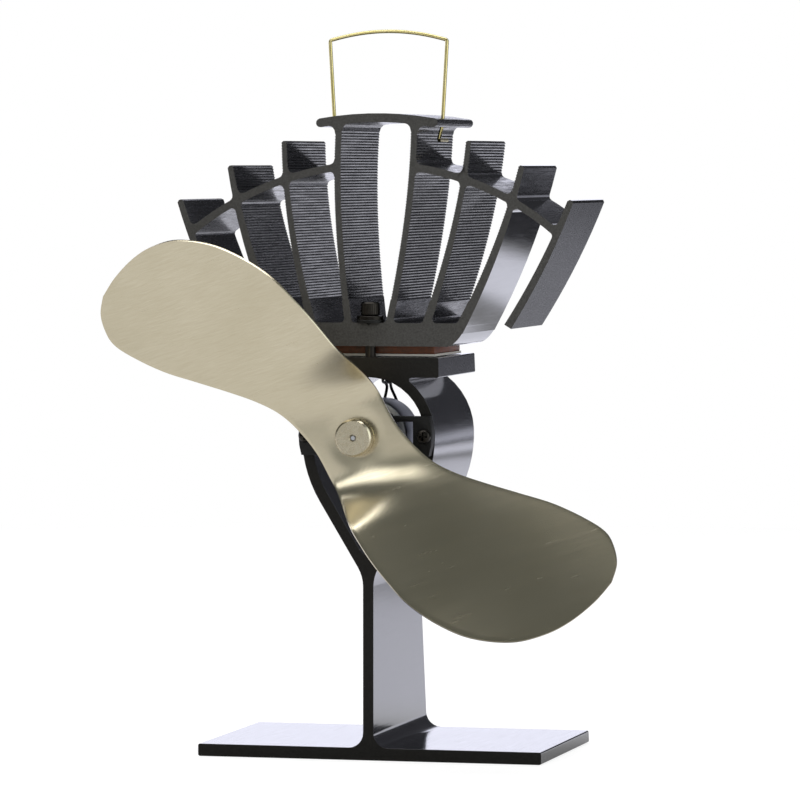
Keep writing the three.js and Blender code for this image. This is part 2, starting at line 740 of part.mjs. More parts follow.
const bearingBore = shaft.radius + runningGap;

function frontBushGeometry() {
  const front = motor.front - bearing.nose;
  const back = motor.front + motor.wall + bearing.inner;
  return tube(bearingBore, bearing.radius, front, back, smallTurn);
}

function rearBushGeometry() {
  return tube(bearingBore, bearing.radius, motorRear - motor.capThickness, motorRear, smallTurn);
}

// Inside the can: the magnets lie against its wall, the armature turns between them, and the commutator
// is next to the end cap
const poleAngles = [90, 210, 330];
const magnetRadius = motor.radius - motor.wall - fitGap;
const armatureRadius = magnetRadius - magnet.thickness - armature.airGap;
const armatureFront = motor.front + motorScrew.bite + looseGap + winding.wire + fitGap;
const commutatorBack = motorRear - motor.capThickness - commutator.rearClear;
const commutatorFront = commutatorBack - commutator.length;
const armatureBack = commutatorFront - winding.endClear - winding.wire - fitGap;

// A part of a ring between two radii and two angles
function ringPart(outer, inner, middle, halfAngle) {
  const [from, to] = [middle - halfAngle, middle + halfAngle];
  return [...arc(0, 0, outer, from, to, coarseTurn), ...arc(0, 0, inner, to, from, coarseTurn)];
}

function magnetGeometry(side) {
  const middle = side > 0 ? 0 : 180;
  const inner = magnetRadius - magnet.thickness;
  const outline = ringPart(magnetRadius, inner, middle, magnet.halfAngle);
  return prism(outline, motor.front + magnet.frontClear, motorRear - magnet.rearClear);
}

function armatureGeometry() {
  const middle = new THREE.Vector2();
  const shoeInner = armatureRadius - armature.shoe;
  const neckHalf = armature.neck / 2;
  let body = solid(unitPrism(circle(0, 0, armature.hub, smallTurn)));
  for (const angle of poleAngles) {
    const neck = rectangle(0, -neckHalf, armatureRadius - armature.shoe / 2, neckHalf)
      .map((p) => p.rotateAround(middle, THREE.MathUtils.degToRad(angle)));
    const shoe = ringPart(armatureRadius, shoeInner, angle, armature.shoeHalfAngle);
    body = body.add(solid(unitPrism(neck))).add(solid(unitPrism(shoe)));
  }
  body = body.subtract(solid(unitPrism(circle(0, 0, shaft.radius + fitGap, smallTurn), 1)));
  return betweenPlanes(geometryOf(body), () => armatureFront, () => armatureBack);
}

// One winding: a flat loop of wire round a pole's neck, which points up before it is turned to its pole
function windingGeometry(angle) {
  const [front, back] = [armatureFront - fitGap, armatureBack + fitGap];
  const hole = armature.neck / 2 + fitGap;
  const half = hole + winding.wire;
  const low = armature.hub + winding.hubClear;
  const high = Math.sqrt((armatureRadius - armature.shoe - winding.shoeClear) ** 2 - half ** 2);
  const outer = boxAt(-half, half, front - winding.wire, back + winding.wire, low, high);
  const inner = boxAt(-hole, hole, front, back, low - overrun, high + overrun);
  return cutFrom(outer, [inner]).rotateY(THREE.MathUtils.degToRad(90 - angle));
}

const brushY = commutatorFront + brush.inset;
const brushInner = commutator.radius + fitGap;
const armInner = brushInner + brush.length + seatGap;
const terminalReach = armInner + brushArm.thickness / 2;
const terminalZ = brushArm.above - terminal.width / 2;

function commutatorGeometry() {
  const bore = shaft.radius + fitGap;
  return tube(bore, commutator.radius, commutatorFront, commutatorBack, smallTurn);
}

function brushGeometry(side) {
  const box = boxAt(
    brushInner, brushInner + brush.length,
    brushY, brushY + brush.depth,
    -brush.width / 2, brush.width / 2,
  );
  return box.translate(side < 0 ? -2 * brushInner - brush.length : 0, 0, 0);
}

function brushArmGeometry(side) {
  const x = side * (armInner + brushArm.thickness / 2);
  const half = brushArm.thickness / 2;
  return boxAt(x - half, x + half, brushY, brushY + brush.depth, -brushArm.below, brushArm.above);
}

function terminalGeometry(side) {
  const x = side * terminalReach;
  const half = terminal.thickness / 2;
  return boxAt(
    x - half, x + half,
    brushY + brush.depth + seatGap, motorRear + terminal.tail,
    terminalZ - terminal.width / 2, terminalZ + terminal.width / 2,
  );
}

function shaftGeometry() {
  const front = blade.hubY - fitGap - knob.length + shaft.frontRecess;
  return rod(shaft.radius, front, motorRear - shaft.rearRecess, smallTurn);
}

// Blade

// How far a point of the blade comes forward of the hub's plane
function bladeForward(u, v) {
  const reach = u * cos(bladeTwist.foldAngle) + v * sin(bladeTwist.foldAngle);
  const side = reach < 0 ? -1 : 1;
  const across = side * v + bladeSection.offset;
  const grow = THREE.MathUtils.smoothstep(Math.abs(reach), bladeTwist.flatReach, bladeTwist.fullReach);
  const ease = 1 - THREE.MathUtils.smoothstep(Math.abs(reach), bladeTwist.fullReach, bladeTwist.easeReach);
  const twist = grow * (1 + bladeTwist.rootShare * ease);
  return twist * (bladeSection.slope * across + across * across / (2 * bladeSection.camber));
}

// A point on the blade's front or back skin
function bladePoint(u, v, depth) {
  const step = blade.thickness / 10;
  const slopeU = (bladeForward(u + step, v) - bladeForward(u - step, v)) / (2 * step);
  const slopeV = (bladeForward(u, v + step) - bladeForward(u, v - step)) / (2 * step);
  const normal = new THREE.Vector3(slopeU, slopeV, 1).normalize().multiplyScalar(depth);
  const [uu, vv] = [u + normal.x, v + normal.y];
  return new THREE.Vector3(
    uu * cos(blade.lean) - vv * sin(blade.lean),
    blade.hubY - bladeForward(u, v) + normal.z,
    -uu * sin(blade.lean) - vv * cos(blade.lean),
  );
}

function bladeGeometry() {
  const edge = new THREE.SplineCurve(bladeEdgeShares.map(([u, v]) => (
    new THREE.Vector2(u * blade.radius, v * blade.radius)
  )));
  const rows = Array.from({ length: bladeSteps.along + 1 }, (_, i) => {
    const trailing = edge.getPoint(i / bladeSteps.along);
    const leading = edge.getPoint(1 - i / bladeSteps.along).negate();
    return Array.from({ length: bladeSteps.across + 1 }, (__, k) => (
      leading.clone().lerp(trailing, k / bladeSteps.across)
    ));
  });
  const skin = (depth) => rows.map((row) => row.map((p) => bladePoint(p.x, p.y, depth)));
  const frontSkin = skin(0);
  const backSkin = skin(blade.thickness);
  const corners = [];
  const quad = (a, b, c, d) => corners.push(a, b, c, a, c, d);
  const last = bladeSteps.across;
  for (let i = 0; i < bladeSteps.along; i += 1) {
    for (let k = 0; k < last; k += 1) {
      quad(frontSkin[i][k], frontSkin[i][k + 1], frontSkin[i + 1][k + 1], frontSkin[i + 1][k]);
      quad(backSkin[i][k], backSkin[i + 1][k], backSkin[i + 1][k + 1], backSkin[i][k + 1]);
    }
    quad(frontSkin[i][0], frontSkin[i + 1][0], backSkin[i + 1][0], backSkin[i][0]);
    quad(frontSkin[i][last], backSkin[i][last], backSkin[i + 1][last], frontSkin[i + 1][last]);
  }
  const sheet = new THREE.BufferGeometry().setFromPoints(corners);
  const holeEnd = blade.hubY + blade.thickness + overrun;
  const hole = rod(shaft.radius + fitGap, blade.hubY - overrun, holeEnd, smallTurn);
  return cutFrom(sheet, [hole]);
}

function knobGeometry() {
  const back = blade.hubY - fitGap;
  const front = back - knob.length;
  const bore = shaft.radius + fitGap;
  const sinkEnd = front + knob.sink - bore;
  return turned([
    [bore, sinkEnd], [knob.sink, front], [knob.radius - knob.bevel, front],
    [knob.radius, front + knob.bevel], [knob.radius, back], [bore, back], [bore, sinkEnd],
  ]);
}

function collarGeometry() {
  const front = blade.hubY + blade.thickness + fitGap;
  return tube(shaft.radius + fitGap, collar.radius, front, front + collar.length);
}

// Handle

// Straight runs through a list of points, with each corner rounded
function roundedRun(path, points, radius) {
  let from = points[0];
  for (let i = 1; i < points.length - 1; i += 1) {
    const corner = points[i];
    const before = points[i - 1].clone().sub(corner).normalize();
    const after = points[i + 1].clone().sub(corner).normalize();
    const reach = radius / Math.tan(before.angleTo(after) / 2);
    const start = corner.clone().addScaledVector(before, reach);
    const end = corner.clone().addScaledVector(after, reach);
    path.add(new THREE.LineCurve3(from, start));
    path.add(new THREE.QuadraticBezierCurve3(start, corner, end));
    from = end;
  }
  path.add(new THREE.LineCurve3(from, points[points.length - 1]));
}

function handleGeometry() {
  const at = (x, z, y = slotY) => new THREE.Vector3(x, y, z);
  const [footX, footZ] = [slotX - handle.footIn, slotZ - handle.footDrop];
  const [topX, topZ] = [slotX + handle.topOut, slotZ + handle.topRise];
  const bowZ = topZ + handleBend.bowRun * handleBend.bow / topX;
  const right = [
    at(footX, footZ, slotY + handle.footLength),
    at(footX, footZ),
    at(slotX + handle.kinkOut, slotZ - handle.kinkDrop),
    at(topX, topZ),
    at(topX - handleBend.bowRun, bowZ),
  ];
  const left = right.map((p) => at(-p.x, p.z, p.y)).reverse();
  const path = new THREE.CurvePath();
  roundedRun(path, right, handleBend.corner);
  path.add(new THREE.QuadraticBezierCurve3(right[4], at(0, topZ + handleBend.bow), left[0]));
  roundedRun(path, left, handleBend.corner);
  return pipe(path, wire.radius, wire.sides, wire.steps);
}

// Leads: down through the platform behind the module, then forward under it to the motor's terminals

function leadGeometry(side) {
  const z = platformTop + lead.radius + looseGap;
  const beside = side * (lead.radius + looseGap / 2);
  const behind = sealRear + looseGap;
  const end = terminalReach + terminal.thickness / 2 + lead.radius + fitGap;
  const route = [
    [leadHole.x + beside, behind, z + 1],
    [leadHole.x + beside, behind + 2.6, z + 1],
    [leadHole.x + beside, leadHoleY - 0.2, z - 1.6],
    [leadHole.x + beside, leadHoleY, z - 6],
    [leadHole.x + beside, leadHoleY - 0.4, z - 10.4],
    [leadHole.x + 1.2 + beside, leadHoleY - 5, z - 12.6],
    [-3.4 + beside, 45.2 + beside, z - 13],
    [-0.6 + beside, 36.4 + beside * 1.4, z - 15],
    [side * 3 + 0.8, motorRear + 5.1, z - 20.5],
    [side * (end - 0.4), motorRear + 2.9, axisZ + terminalZ + 2.2],
    [side * end, motorRear + 2.5, axisZ + terminalZ - 0.6],
  ];
  const points = route.map(([x, y, height]) => new THREE.Vector3(x, y, height));
  return pipe(new THREE.CatmullRomCurve3(points), lead.radius, lead.sides, lead.steps);
}

// Assembly

const fan = new THREE.Group();

function addPiece(name, geometry, finish, place = new THREE.Vector3()) {
  const mesh = new THREE.Mesh(geometry, new THREE.MeshStandardMaterial(finish));
  mesh.name = name;
  mesh.position.copy(place);
  fan.add(mesh);
}

const onAxis = new THREE.Vector3(0, 0, axisZ);

addPiece('stand', standGeometry(), blackAnodised);
addPiece('heat_sink', heatSinkGeometry(), blackAnodised);

const hotWidth = sealWidth + 2 * hotPlate.sideProud;
const hotDepth = sealDepth + 2 * hotPlate.endProud;
const coldSize = coldPlate.size;
const pelletSize = coldPlate.size - 2 * pellets.inset;
const hotFoilZ = platformTop + seatGap;
addPiece('hot_foil', plateGeometry(coldSize, coldSize, hotFoilZ, foil.thickness), graphite);
addPiece('hot_plate', plateGeometry(hotWidth, hotDepth, hotPlateZ, hotPlate.thickness), whiteCeramic);
addPiece('pellet_block', plateGeometry(pelletSize, pelletSize, pelletZ, pellets.thickness), graphite);
addPiece('cold_plate', plateGeometry(coldSize, coldSize, coldPlateZ, coldPlate.thickness), whiteCeramic);
addPiece('cold_foil', plateGeometry(coldSize, coldSize, coldFoilZ, foil.thickness), graphite);
addPiece('module_seal', sealGeometry(), orangeSilicone);

for (const [end, y] of [['front', frontBoltY], ['rear', rearBoltY]]) {
  const place = new THREE.Vector3(0, y, 0);
  addPiece(`clamp_bolt_${end}`, clampBoltGeometry(), blackSteel, place);
  addPiece(`bolt_bush_${end}`, bushGeometry(), blackPlastic, place);
  addPiece(`spring_washer_${end}_lower`, springGeometry(0), blackSteel, place);
  addPiece(`spring_washer_${end}_upper`, springGeometry(1), blackSteel, place);
}

addPiece('motor_bracket', bracketGeometry(), blackPlastic);
addPiece('motor_can', canGeometry(), steel, onAxis);
addPiece('motor_end_cap', endCapGeometry(), blackPlastic, onAxis);
addPiece('front_bush', frontBushGeometry(), bronze, onAxis);
addPiece('rear_bush', rearBushGeometry(), bronze, onAxis);

for (const [hand, side] of [['left', -1], ['right', 1]]) {
  const screwPlace = new THREE.Vector3(side * bossReach, 0, axisZ);
  const motorScrewPlace = new THREE.Vector3(side * motorScrewReach, 0, axisZ);
  addPiece(`bracket_screw_${hand}`, tabScrewGeometry(), blackSteel, screwPlace);
  addPiece(`motor_screw_${hand}`, motorScrewGeometry(), steel, motorScrewPlace);
  addPiece(`magnet_${hand}`, magnetGeometry(side), ferrite, onAxis);
  addPiece(`brush_${hand}`, brushGeometry(side), graphite, onAxis);
  addPiece(`brush_arm_${hand}`, brushArmGeometry(side), copper, onAxis);
  addPiece(`terminal_${hand}`, terminalGeometry(side), copper, onAxis);
  addPiece(`lead_${hand}`, leadGeometry(side), darkCable);
}

addPiece('shaft', shaftGeometry(), steel, onAxis);
addPiece('armature_core', armatureGeometry(), steel, onAxis);
poleAngles.forEach((angle, i) => {
  addPiece(`winding_${i + 1}`, windingGeometry(angle), copper, onAxis);
});
addPiece('commutator', commutatorGeometry(), copper, onAxis);
addPiece('blade', bladeGeometry(), champagne, onAxis);
addPiece('blade_collar', collarGeometry(), steel, onAxis);
addPiece('hub_knob', knobGeometry(), champagne, onAxis);
addPiece('handle', handleGeometry(), brass);

fan.position.y = -base.depth / 2;

export default fan;
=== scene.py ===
"""A heat-powered stove fan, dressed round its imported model.

Lengths are in millimetres while a piece is modelled. X runs to the right seen from the front, the fan
faces -Y, Z is up, and the origin is the middle of the base's underside.
"""

import math

import bmesh
import bpy
from mathutils import Matrix, Vector


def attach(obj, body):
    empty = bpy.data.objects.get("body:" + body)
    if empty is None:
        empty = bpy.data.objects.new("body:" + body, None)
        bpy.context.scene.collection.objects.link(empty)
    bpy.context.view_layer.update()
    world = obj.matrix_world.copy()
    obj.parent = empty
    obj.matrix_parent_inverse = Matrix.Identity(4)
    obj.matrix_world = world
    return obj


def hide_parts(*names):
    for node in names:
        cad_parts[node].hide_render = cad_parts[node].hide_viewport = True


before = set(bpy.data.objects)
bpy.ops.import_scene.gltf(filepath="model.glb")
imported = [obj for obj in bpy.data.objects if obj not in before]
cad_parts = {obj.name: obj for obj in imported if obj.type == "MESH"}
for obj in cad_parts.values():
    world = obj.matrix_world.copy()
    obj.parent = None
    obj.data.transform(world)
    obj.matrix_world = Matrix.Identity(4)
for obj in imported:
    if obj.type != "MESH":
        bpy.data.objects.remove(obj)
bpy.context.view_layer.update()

MM = 0.001
AXIS_Z = 130.5
AXIS = Vector((0, 0, AXIS_Z))
ALONG_Y = Vector((0, 1, 0))
UPWARD = Vector((0, 0, 1))

# Heights of the clamped stack, and places along Y, from the part's own sizes
PLATFORM_TOP = 161.7
BLOCK_TOP = 175.42
SPRING_LOW = 176.66
SPRING_PITCH = 0.72
HEAD_LOW = 178.45
FRONT_BOLT_Y = -41
REAR_BOLT_Y = 8.5
SLOT_X, SLOT_Y, SLOT_Z = 22.1, -11.997, 255.608

# Points of a mesh that lie closer than this are one
SAME_POINT = 0.002


# The camera stands at the photograph's place, and is made first

CAMERA_PLACE = Vector((553.8, -2181, 239))
CAMERA_AIM = Vector((3.22, -5.8, 143))
SENSOR_WIDTH, LENS = 36, 248.68
NEAREST, FURTHEST = 0.1, 100


def make_camera():
    data = bpy.data.cameras.new("camera")
    data.sensor_width = SENSOR_WIDTH
    data.lens = LENS
    data.clip_start, data.clip_end = NEAREST, FURTHEST
    made = bpy.data.objects.new("camera", data)
    bpy.context.scene.collection.objects.link(made)
    made.location = CAMERA_PLACE * MM
    made.rotation_euler = (CAMERA_AIM * MM - made.location).to_track_quat("-Z", "Y").to_euler()
    bpy.context.scene.camera = made


make_camera()


# Nodes and colours

WHITE = (1, 1, 1, 1)
# The grains of a pattern fill this middle part of its range
MIDDLE = {"From Min": 0.3, "From Max": 0.7}


def linear(code):
    """An sRGB hex colour as linear red, green, blue and alpha."""
    parts = [int(code[i:i + 2], 16) / 255 for i in (1, 3, 5)]
    return [c / 12.92 if c <= 0.04045 else ((c + 0.055) / 1.055) ** 2.4 for c in parts] + [1]


def add(tree, kind, inputs=None, **settings):
    """Adds a node with its settings and links. An input is a value, a socket that it is linked from,
    or a node that it is linked from by the first output in use."""
    made = tree.nodes.new(kind)
    for name, value in settings.items():
        setattr(made, name, value)
    for socket, value in (inputs or {}).items():
        if isinstance(value, bpy.types.Node):
            value = next(output for output in value.outputs if output.enabled)
        if isinstance(value, bpy.types.NodeSocket):
            tree.links.new(value, made.inputs[socket])
        else:
            made.inputs[socket].default_value = value
    return made


def new_material(name):
    made = bpy.data.materials.new(name)
    made.use_nodes = True
    made.node_tree.nodes.clear()
    return made, made.node_tree


def pattern(tree, period, stretch=(1, 1, 1), turn=(0, 0, 0), detail=2, rough=0.5):
    """Noise on the piece's own coordinates. Its grains are about a period long in millimetres, and
    longer along an axis whose stretch is above 1."""
    place = add(tree, "ShaderNodeTexCoord")
    moved = add(tree, "ShaderNodeMapping", {
        "Vector": place.outputs["Object"], "Rotation": [math.radians(a) for a in turn],
    }, vector_type="TEXTURE")
    scaled = add(tree, "ShaderNodeVectorMath", {
        0: moved, 1: [1 / (period * s * MM) for s in stretch],
    }, operation="MULTIPLY")
    return add(tree, "ShaderNodeTexNoise", {
        "Vector": scaled, "Scale": 1.0, "Detail": detail, "Roughness": rough,
    })


def toned(tree, value, first, second, most=1.0, reach=MIDDLE):
    """One colour that turns to another, up to a share of it, over a reach of a pattern's range."""
    share = add(tree, "ShaderNodeMapRange", {"Value": value, **reach, "To Min": 0, "To Max": most})
    return add(tree, "ShaderNodeMix", {0: share, 6: first, 7: second}, data_type="RGBA")


def surface(tree, tone, gloss, height, depth, uniform):
    """The shader and the output, over a surface raised by a pattern to a depth in millimetres."""
    raised = add(tree, "ShaderNodeBump", {"Height": height, "Distance": depth * MM, "Strength": 1.0})
    shader = add(tree, "ShaderNodeBsdfPrincipled", {
        "Base Color": tone, "Roughness": gloss, "Normal": raised, **uniform,
    })
    add(tree, "ShaderNodeOutputMaterial", {"Surface": shader})


def dull(name, dark, light, low, high, period=0.5, depth=0.01, shine=0.5):
    """A material that is no metal, with a fine grain in its colour, gloss and surface."""
    made, tree = new_material(name)
    grains = pattern(tree, period, detail=3, rough=0.6)
    clouds = pattern(tree, 8)
    both = add(tree, "ShaderNodeMath", {0: grains, 1: clouds}, operation="ADD")
    shade = toned(tree, both, linear(dark), linear(light), reach={"From Min": 0.7, "From Max": 1.3})
    gloss = add(tree, "ShaderNodeMapRange", {"Value": grains, **MIDDLE, "To Min": low, "To Max": high})
    surface(tree, shade, gloss, grains, depth, {"IOR": 1.5, "Specular IOR Level": shine})
    return made


# Leads: from the module's rear edge down to the motor's terminals

LEAD_RADIUS = 0.6
# The leads leave the module left of its middle and lie this far from their common middle line
LEAD_EXIT_X, LEAD_BESIDE = -7.5, 0.75
# The route's places along Y count from the base's front edge
ROUTE_START_Y = -45


def placed(name, data, body, stands_for):
    """A piece of the fan, which rides on a body and stands in for its nodes."""
    made = bpy.data.objects.new(name, data)
    bpy.context.scene.collection.objects.link(made)
    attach(made, body)
    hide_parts(*stands_for)
    return made


def line_piece(name, points, radius, finish, body, stands_for):
    """A round wire or sleeve along a run of points."""
    data = bpy.data.curves.new(name, "CURVE")
    data.dimensions = "3D"
    data.bevel_depth = radius * MM
    data.bevel_resolution = 4
    data.use_fill_caps = True
    run = data.splines.new("POLY")
    run.points.add(len(points) - 1)
    for spot, point in zip(run.points, points):
        spot.co = (*(point * MM), 1)
    data.materials.append(finish)
    return placed(name, data, body, stands_for)


def smooth_through(points, steps=8):
    """A smooth curve through points that are unevenly spaced."""
    ends = [points[0] * 2 - points[1], *points, points[-1] * 2 - points[-2]]
    run = []
    for a, b, c, d in zip(ends, ends[1:], ends[2:], ends[3:]):
        gaps = [math.sqrt((q - p).length) for p, q in ((a, b), (b, c), (c, d))]
        start = ((b - a) / gaps[0] - (c - a) / (gaps[0] + gaps[1]) + (c - b) / gaps[1]) * gaps[1]
        end = ((c - b) / gaps[1] - (d - b) / (gaps[1] + gaps[2]) + (d - c) / gaps[2]) * gaps[1]
        for i in range(steps):
            t = i / steps
            run.append(b + start * t + (c * 3 - b * 3 - start * 2 - end) * t * t
                       + (b * 2 - c * 2 + start + end) * t ** 3)
    return run + [points[-1]]


def lead_points(side):
    """A lead's route: out over the platform's rear edge, down behind it, forward to its terminal."""
    beside = side * LEAD_BESIDE
    x, z = LEAD_EXIT_X + beside, PLATFORM_TOP + 0.9
    route = (
        (x, 50.8, z + 1), (x, 53.4, z + 1), (x, 56.3, z - 1.6),
        (x, 56.5, z - 6), (x, 56.1, z - 10.4), (-6.3 + beside, 51.5, z - 12.6),
        (-3.4 + beside, 45.2 + beside, z - 13), (-0.6 + beside, 36.4 + beside * 1.4, z - 15),
        (side * 3 + 0.8, 32.6, z - 20.5), (side * 4.77, 30.4, AXIS_Z + 7.4),
        (side * 5.17, 30, AXIS_Z + 4.6),
    )
    return smooth_through([Vector((x, y + ROUTE_START_Y, height)) for x, y, height in route])


# Silicone sleeve on the leads: dark brown black, soft sheen
SLEEVE = dull("silicone_sleeve", "#1a1614", "#2a2421", 0.38, 0.5, period=0.8)

for hand, side in (("left", -1), ("right", 1)):
    path = lead_points(side)
    sleeve = line_piece(
        f"lead_sleeve_{hand}", path, LEAD_RADIUS, SLEEVE, "stand", [f"lead_{hand}"])


# Finishes of the other pieces

def extruded_black(name, dark, light, die_line_and_sheen, tint, rough, depth, shine, swing=0.05):
    """Black anodised aluminium, as it left the die: deep black oxide with a skin that mirrors what is
    beside it at a grazing angle, and die lines that run along the bar and come and go. The lighter
    bands and lines in its colour are partly die lines and partly painted reflection streaks."""
    made, tree = new_material(name)
    # Real die lines are under 0.1 mm wide. They are drawn 0.5 mm wide, or they would not show.
    lines = pattern(tree, 0.5, (1, 200, 1), detail=3, rough=0.6)
    bands = pattern(tree, 1.3, (1, 16, 1), detail=4, rough=0.65)
    # Lighter bands and lines in the colour: partly real die lines, partly painted reflection streaks
    shade = toned(tree, bands, linear(dark), linear(light))
    fine = toned(tree, lines, shade, linear(die_line_and_sheen), most=0.4)
    broad = add(tree, "ShaderNodeMapRange", {
        "Value": bands, **MIDDLE, "To Min": rough, "To Max": rough + swing,
    })
    narrow = add(tree, "ShaderNodeMapRange", {
        "Value": lines, **MIDDLE, "To Min": -0.01, "To Max": 0.02,
    })
    gloss = add(tree, "ShaderNodeMath", {0: broad, 1: narrow}, operation="ADD")
    streaks = add(tree, "ShaderNodeMath", {0: bands, 1: 2.0, 2: lines}, operation="MULTIPLY_ADD")
    surface(tree, fine, gloss, streaks, depth, {
        "IOR": 1.5, "Specular IOR Level": shine, "Specular Tint": linear(tint), "Coat Weight": shine,
        "Coat Roughness": rough,
    })
    return made


def rubbed_black():
    """Black anodised aluminium whose outer faces were rubbed in handling: a dull black with a fine
    sparkle."""
    made, tree = new_material("black_anodised_rubbed")
    # Real scuffs are a few hundredths of a millimetre wide, and are drawn coarser to show
    grains = pattern(tree, 0.8, (1, 2, 1), detail=4, rough=0.75)
    clouds = pattern(tree, 16)
    shade = toned(tree, clouds, linear("#0d0d0e"), linear("#141415"))
    fine = toned(tree, grains, shade, linear("#222326"), reach={"From Min": 0.5, "From Max": 0.75})
    gloss = add(tree, "ShaderNodeMapRange", {"Value": grains, **MIDDLE, "To Min": 0.24, "To Max": 0.36})
    surface(tree, fine, gloss, grains, 0.006, {
        "IOR": 1.5, "Specular IOR Level": 0.08, "Specular Tint": linear("#f2f3f8"),
    })
    return made


def sawn_black(name, dark, light, grain, rough, shine):
    """Black anodised aluminium over a sawn end: a dull grey black that the saw's fine marks scatter,
    with a grain that catches the light."""
    made, tree = new_material(name)
    # A fine saw leaves marks about 0.1 mm apart, and they are drawn 0.55 mm apart to show
    marks = pattern(tree, 0.55, (1, 1, 16), detail=4, rough=0.7)
    grains = pattern(tree, 0.7, detail=3, rough=0.7)
    shade = toned(tree, grains, linear(dark), linear(light))
    both = add(tree, "ShaderNodeMath", {0: marks, 1: grains}, operation="ADD")
    gloss = add(tree, "ShaderNodeMapRange", {
        "Value": marks, **MIDDLE, "To Min": rough - 0.06, "To Max": rough + 0.06,
    })
    surface(tree, shade, gloss, both, grain, {
        "IOR": 1.5, "Specular IOR Level": shine, "Specular Tint": linear("#fff8ee"),
    })
    return made


def brushed_champagne():
    """Champagne anodised aluminium sheet, brushed before it was cut and bent: a warm pale gold with
    short straight hairlines, all in one direction across both lobes."""
    made, tree = new_material("champagne_brushed")
    # Real hairlines are about 0.1 mm wide. They are drawn 0.34 mm wide, or they would not show.
    hairs = pattern(tree, 0.34, (24, 24, 1), turn=(0, -17, 0), detail=3, rough=0.65)
    longer = pattern(tree, 1.3, (40, 40, 1), turn=(0, -17, 0))
    clouds = pattern(tree, 26)
    shade = toned(tree, clouds, linear("#d1c8b0"), linear("#d8cfb8"))
    tone = toned(tree, hairs, shade, linear("#bfb496"), most=0.4)
    fine = add(tree, "ShaderNodeMapRange", {"Value": hairs, **MIDDLE, "To Min": 0.22, "To Max": 0.26})
    broad = add(tree, "ShaderNodeMapRange", {
        "Value": longer, **MIDDLE, "To Min": -0.01, "To Max": 0.02,
    })
    gloss = add(tree, "ShaderNodeMath", {0: fine, 1: broad}, operation="ADD")
    surface(tree, tone, gloss, hairs, 0.0004, {"Metallic": 1.0})
    return made


def turned_metal():
    """Champagne anodised aluminium, turned on a lathe: fine rings on the face, and an even glow that
    spreads from the middle."""
    made, tree = new_material("champagne_turned")
    place = add(tree, "ShaderNodeTexCoord")
    from_axis = add(tree, "ShaderNodeVectorMath", {
        0: place.outputs["Object"], 1: AXIS * MM,
    }, operation="SUBTRACT")
    flat = add(tree, "ShaderNodeVectorMath", {0: from_axis, 1: (1, 0, 1)}, operation="MULTIPLY")
    reach = add(tree, "ShaderNodeVectorMath", {0: flat}, operation="LENGTH")
    # A lathe's rings are 0.1 mm apart. They are drawn 0.35 mm apart, or they would not show.
    ring = add(tree, "ShaderNodeMath", {0: reach, 1: math.tau / (0.35 * MM)}, operation="MULTIPLY")
    wave = add(tree, "ShaderNodeMath", {0: ring}, operation="SINE")
    grains = pattern(tree, 1.4, detail=3)
    shade = toned(tree, grains, linear("#c0b69e"), linear("#cdc4ae"))
    gloss = add(tree, "ShaderNodeMapRange", {"Value": grains, **MIDDLE, "To Min": 0.24, "To Max": 0.3})
    surface(tree, shade, gloss, wave, 0.0015, {"Metallic": 1.0})
    return made


def drawn_brass():
    """Brass wire, drawn through a die: pale yellow, bright, with a few duller patches from handling."""
    made, tree = new_material("brass_wire_drawn")
    patches = pattern(tree, 7)
    specks = pattern(tree, 0.6, detail=3)
    shade = toned(tree, patches, linear("#cdbf7c"), linear("#dcd09a"))
    gloss = add(tree, "ShaderNodeMapRange", {"Value": patches, **MIDDLE, "To Min": 0.16, "To Max": 0.3})
    surface(tree, shade, gloss, specks, 0.003, {"Metallic": 1.0})
    return made


def metal(name, dark, light, low, high, period=1.2, stretch=(1, 1, 1), depth=0.003):
    """Bare or plated metal: a colour that wanders a little, with marks of its making in the gloss."""
    made, tree = new_material(name)
    marks = pattern(tree, period, stretch, detail=3, rough=0.6)
    clouds = pattern(tree, 9)
    shade = toned(tree, clouds, linear(dark), linear(light))
    gloss = add(tree, "ShaderNodeMapRange", {"Value": marks, **MIDDLE, "To Min": low, "To Max": high})
    surface(tree, shade, gloss, marks, depth, {"Metallic": 1.0})
    return made


# Satin skin on the stand, with a blue cast
EXTRUDED = extruded_black(
    "black_anodised_satin", dark="#121316", light="#1d1e22", die_line_and_sheen="#26272c", tint="#e6e8f6",
    rough=0.12, depth=0.008, shine=0.5)
# A brighter skin on the fins' plain faces, which mirrors the room
SLEEK = extruded_black(
    "black_anodised_bright", dark="#0a0a0b", light="#141516", die_line_and_sheen="#1b1c1e", tint="#f0f1f6",
    rough=0.07, depth=0.004, shine=0.5)
# A duller skin in the grooves, with deeper die lines, a gloss that comes and goes, and stronger painted
# reflection streaks in its colour
GROOVED = extruded_black(
    "black_anodised_grooved", dark="#070708", light="#1a1b1c", die_line_and_sheen="#1d1e20", tint="#f2f2f4",
    rough=0.1, depth=0.03, shine=0.25, swing=0.3)
RUBBED = rubbed_black()
SAWN_SINK = sawn_black(
    "black_anodised_sawn_fins", "#2c2c2b", "#454544", grain=0.03, rough=0.52, shine=0.4)
SAWN_STAND = sawn_black(
    "black_anodised_sawn_stand", "#0f0f0f", "#1c1c1b", grain=0.015, rough=0.46, shine=0.2)
BRUSHED = brushed_champagne()
TURNED = turned_metal()
BRASS = drawn_brass()
# Black oxide on hardened steel: brown black, with an oily half gloss
BLACK_STEEL = metal("black_oxide_steel", "#2c2a28", "#3d3a36", 0.3, 0.45)
# Zinc plate with a blue passivation, drawn marks round the can
PLATED = metal(
    "zinc_plated_steel", "#c6cad3", "#d5d8df", 0.38, 0.46, period=0.5, stretch=(1, 20, 1), depth=0.001)
# Ground steel, mirror bright along the shaft
GROUND = metal("ground_steel", "#b8bac0", "#c9cbd0", 0.15, 0.25, period=0.4, stretch=(1, 12, 1))
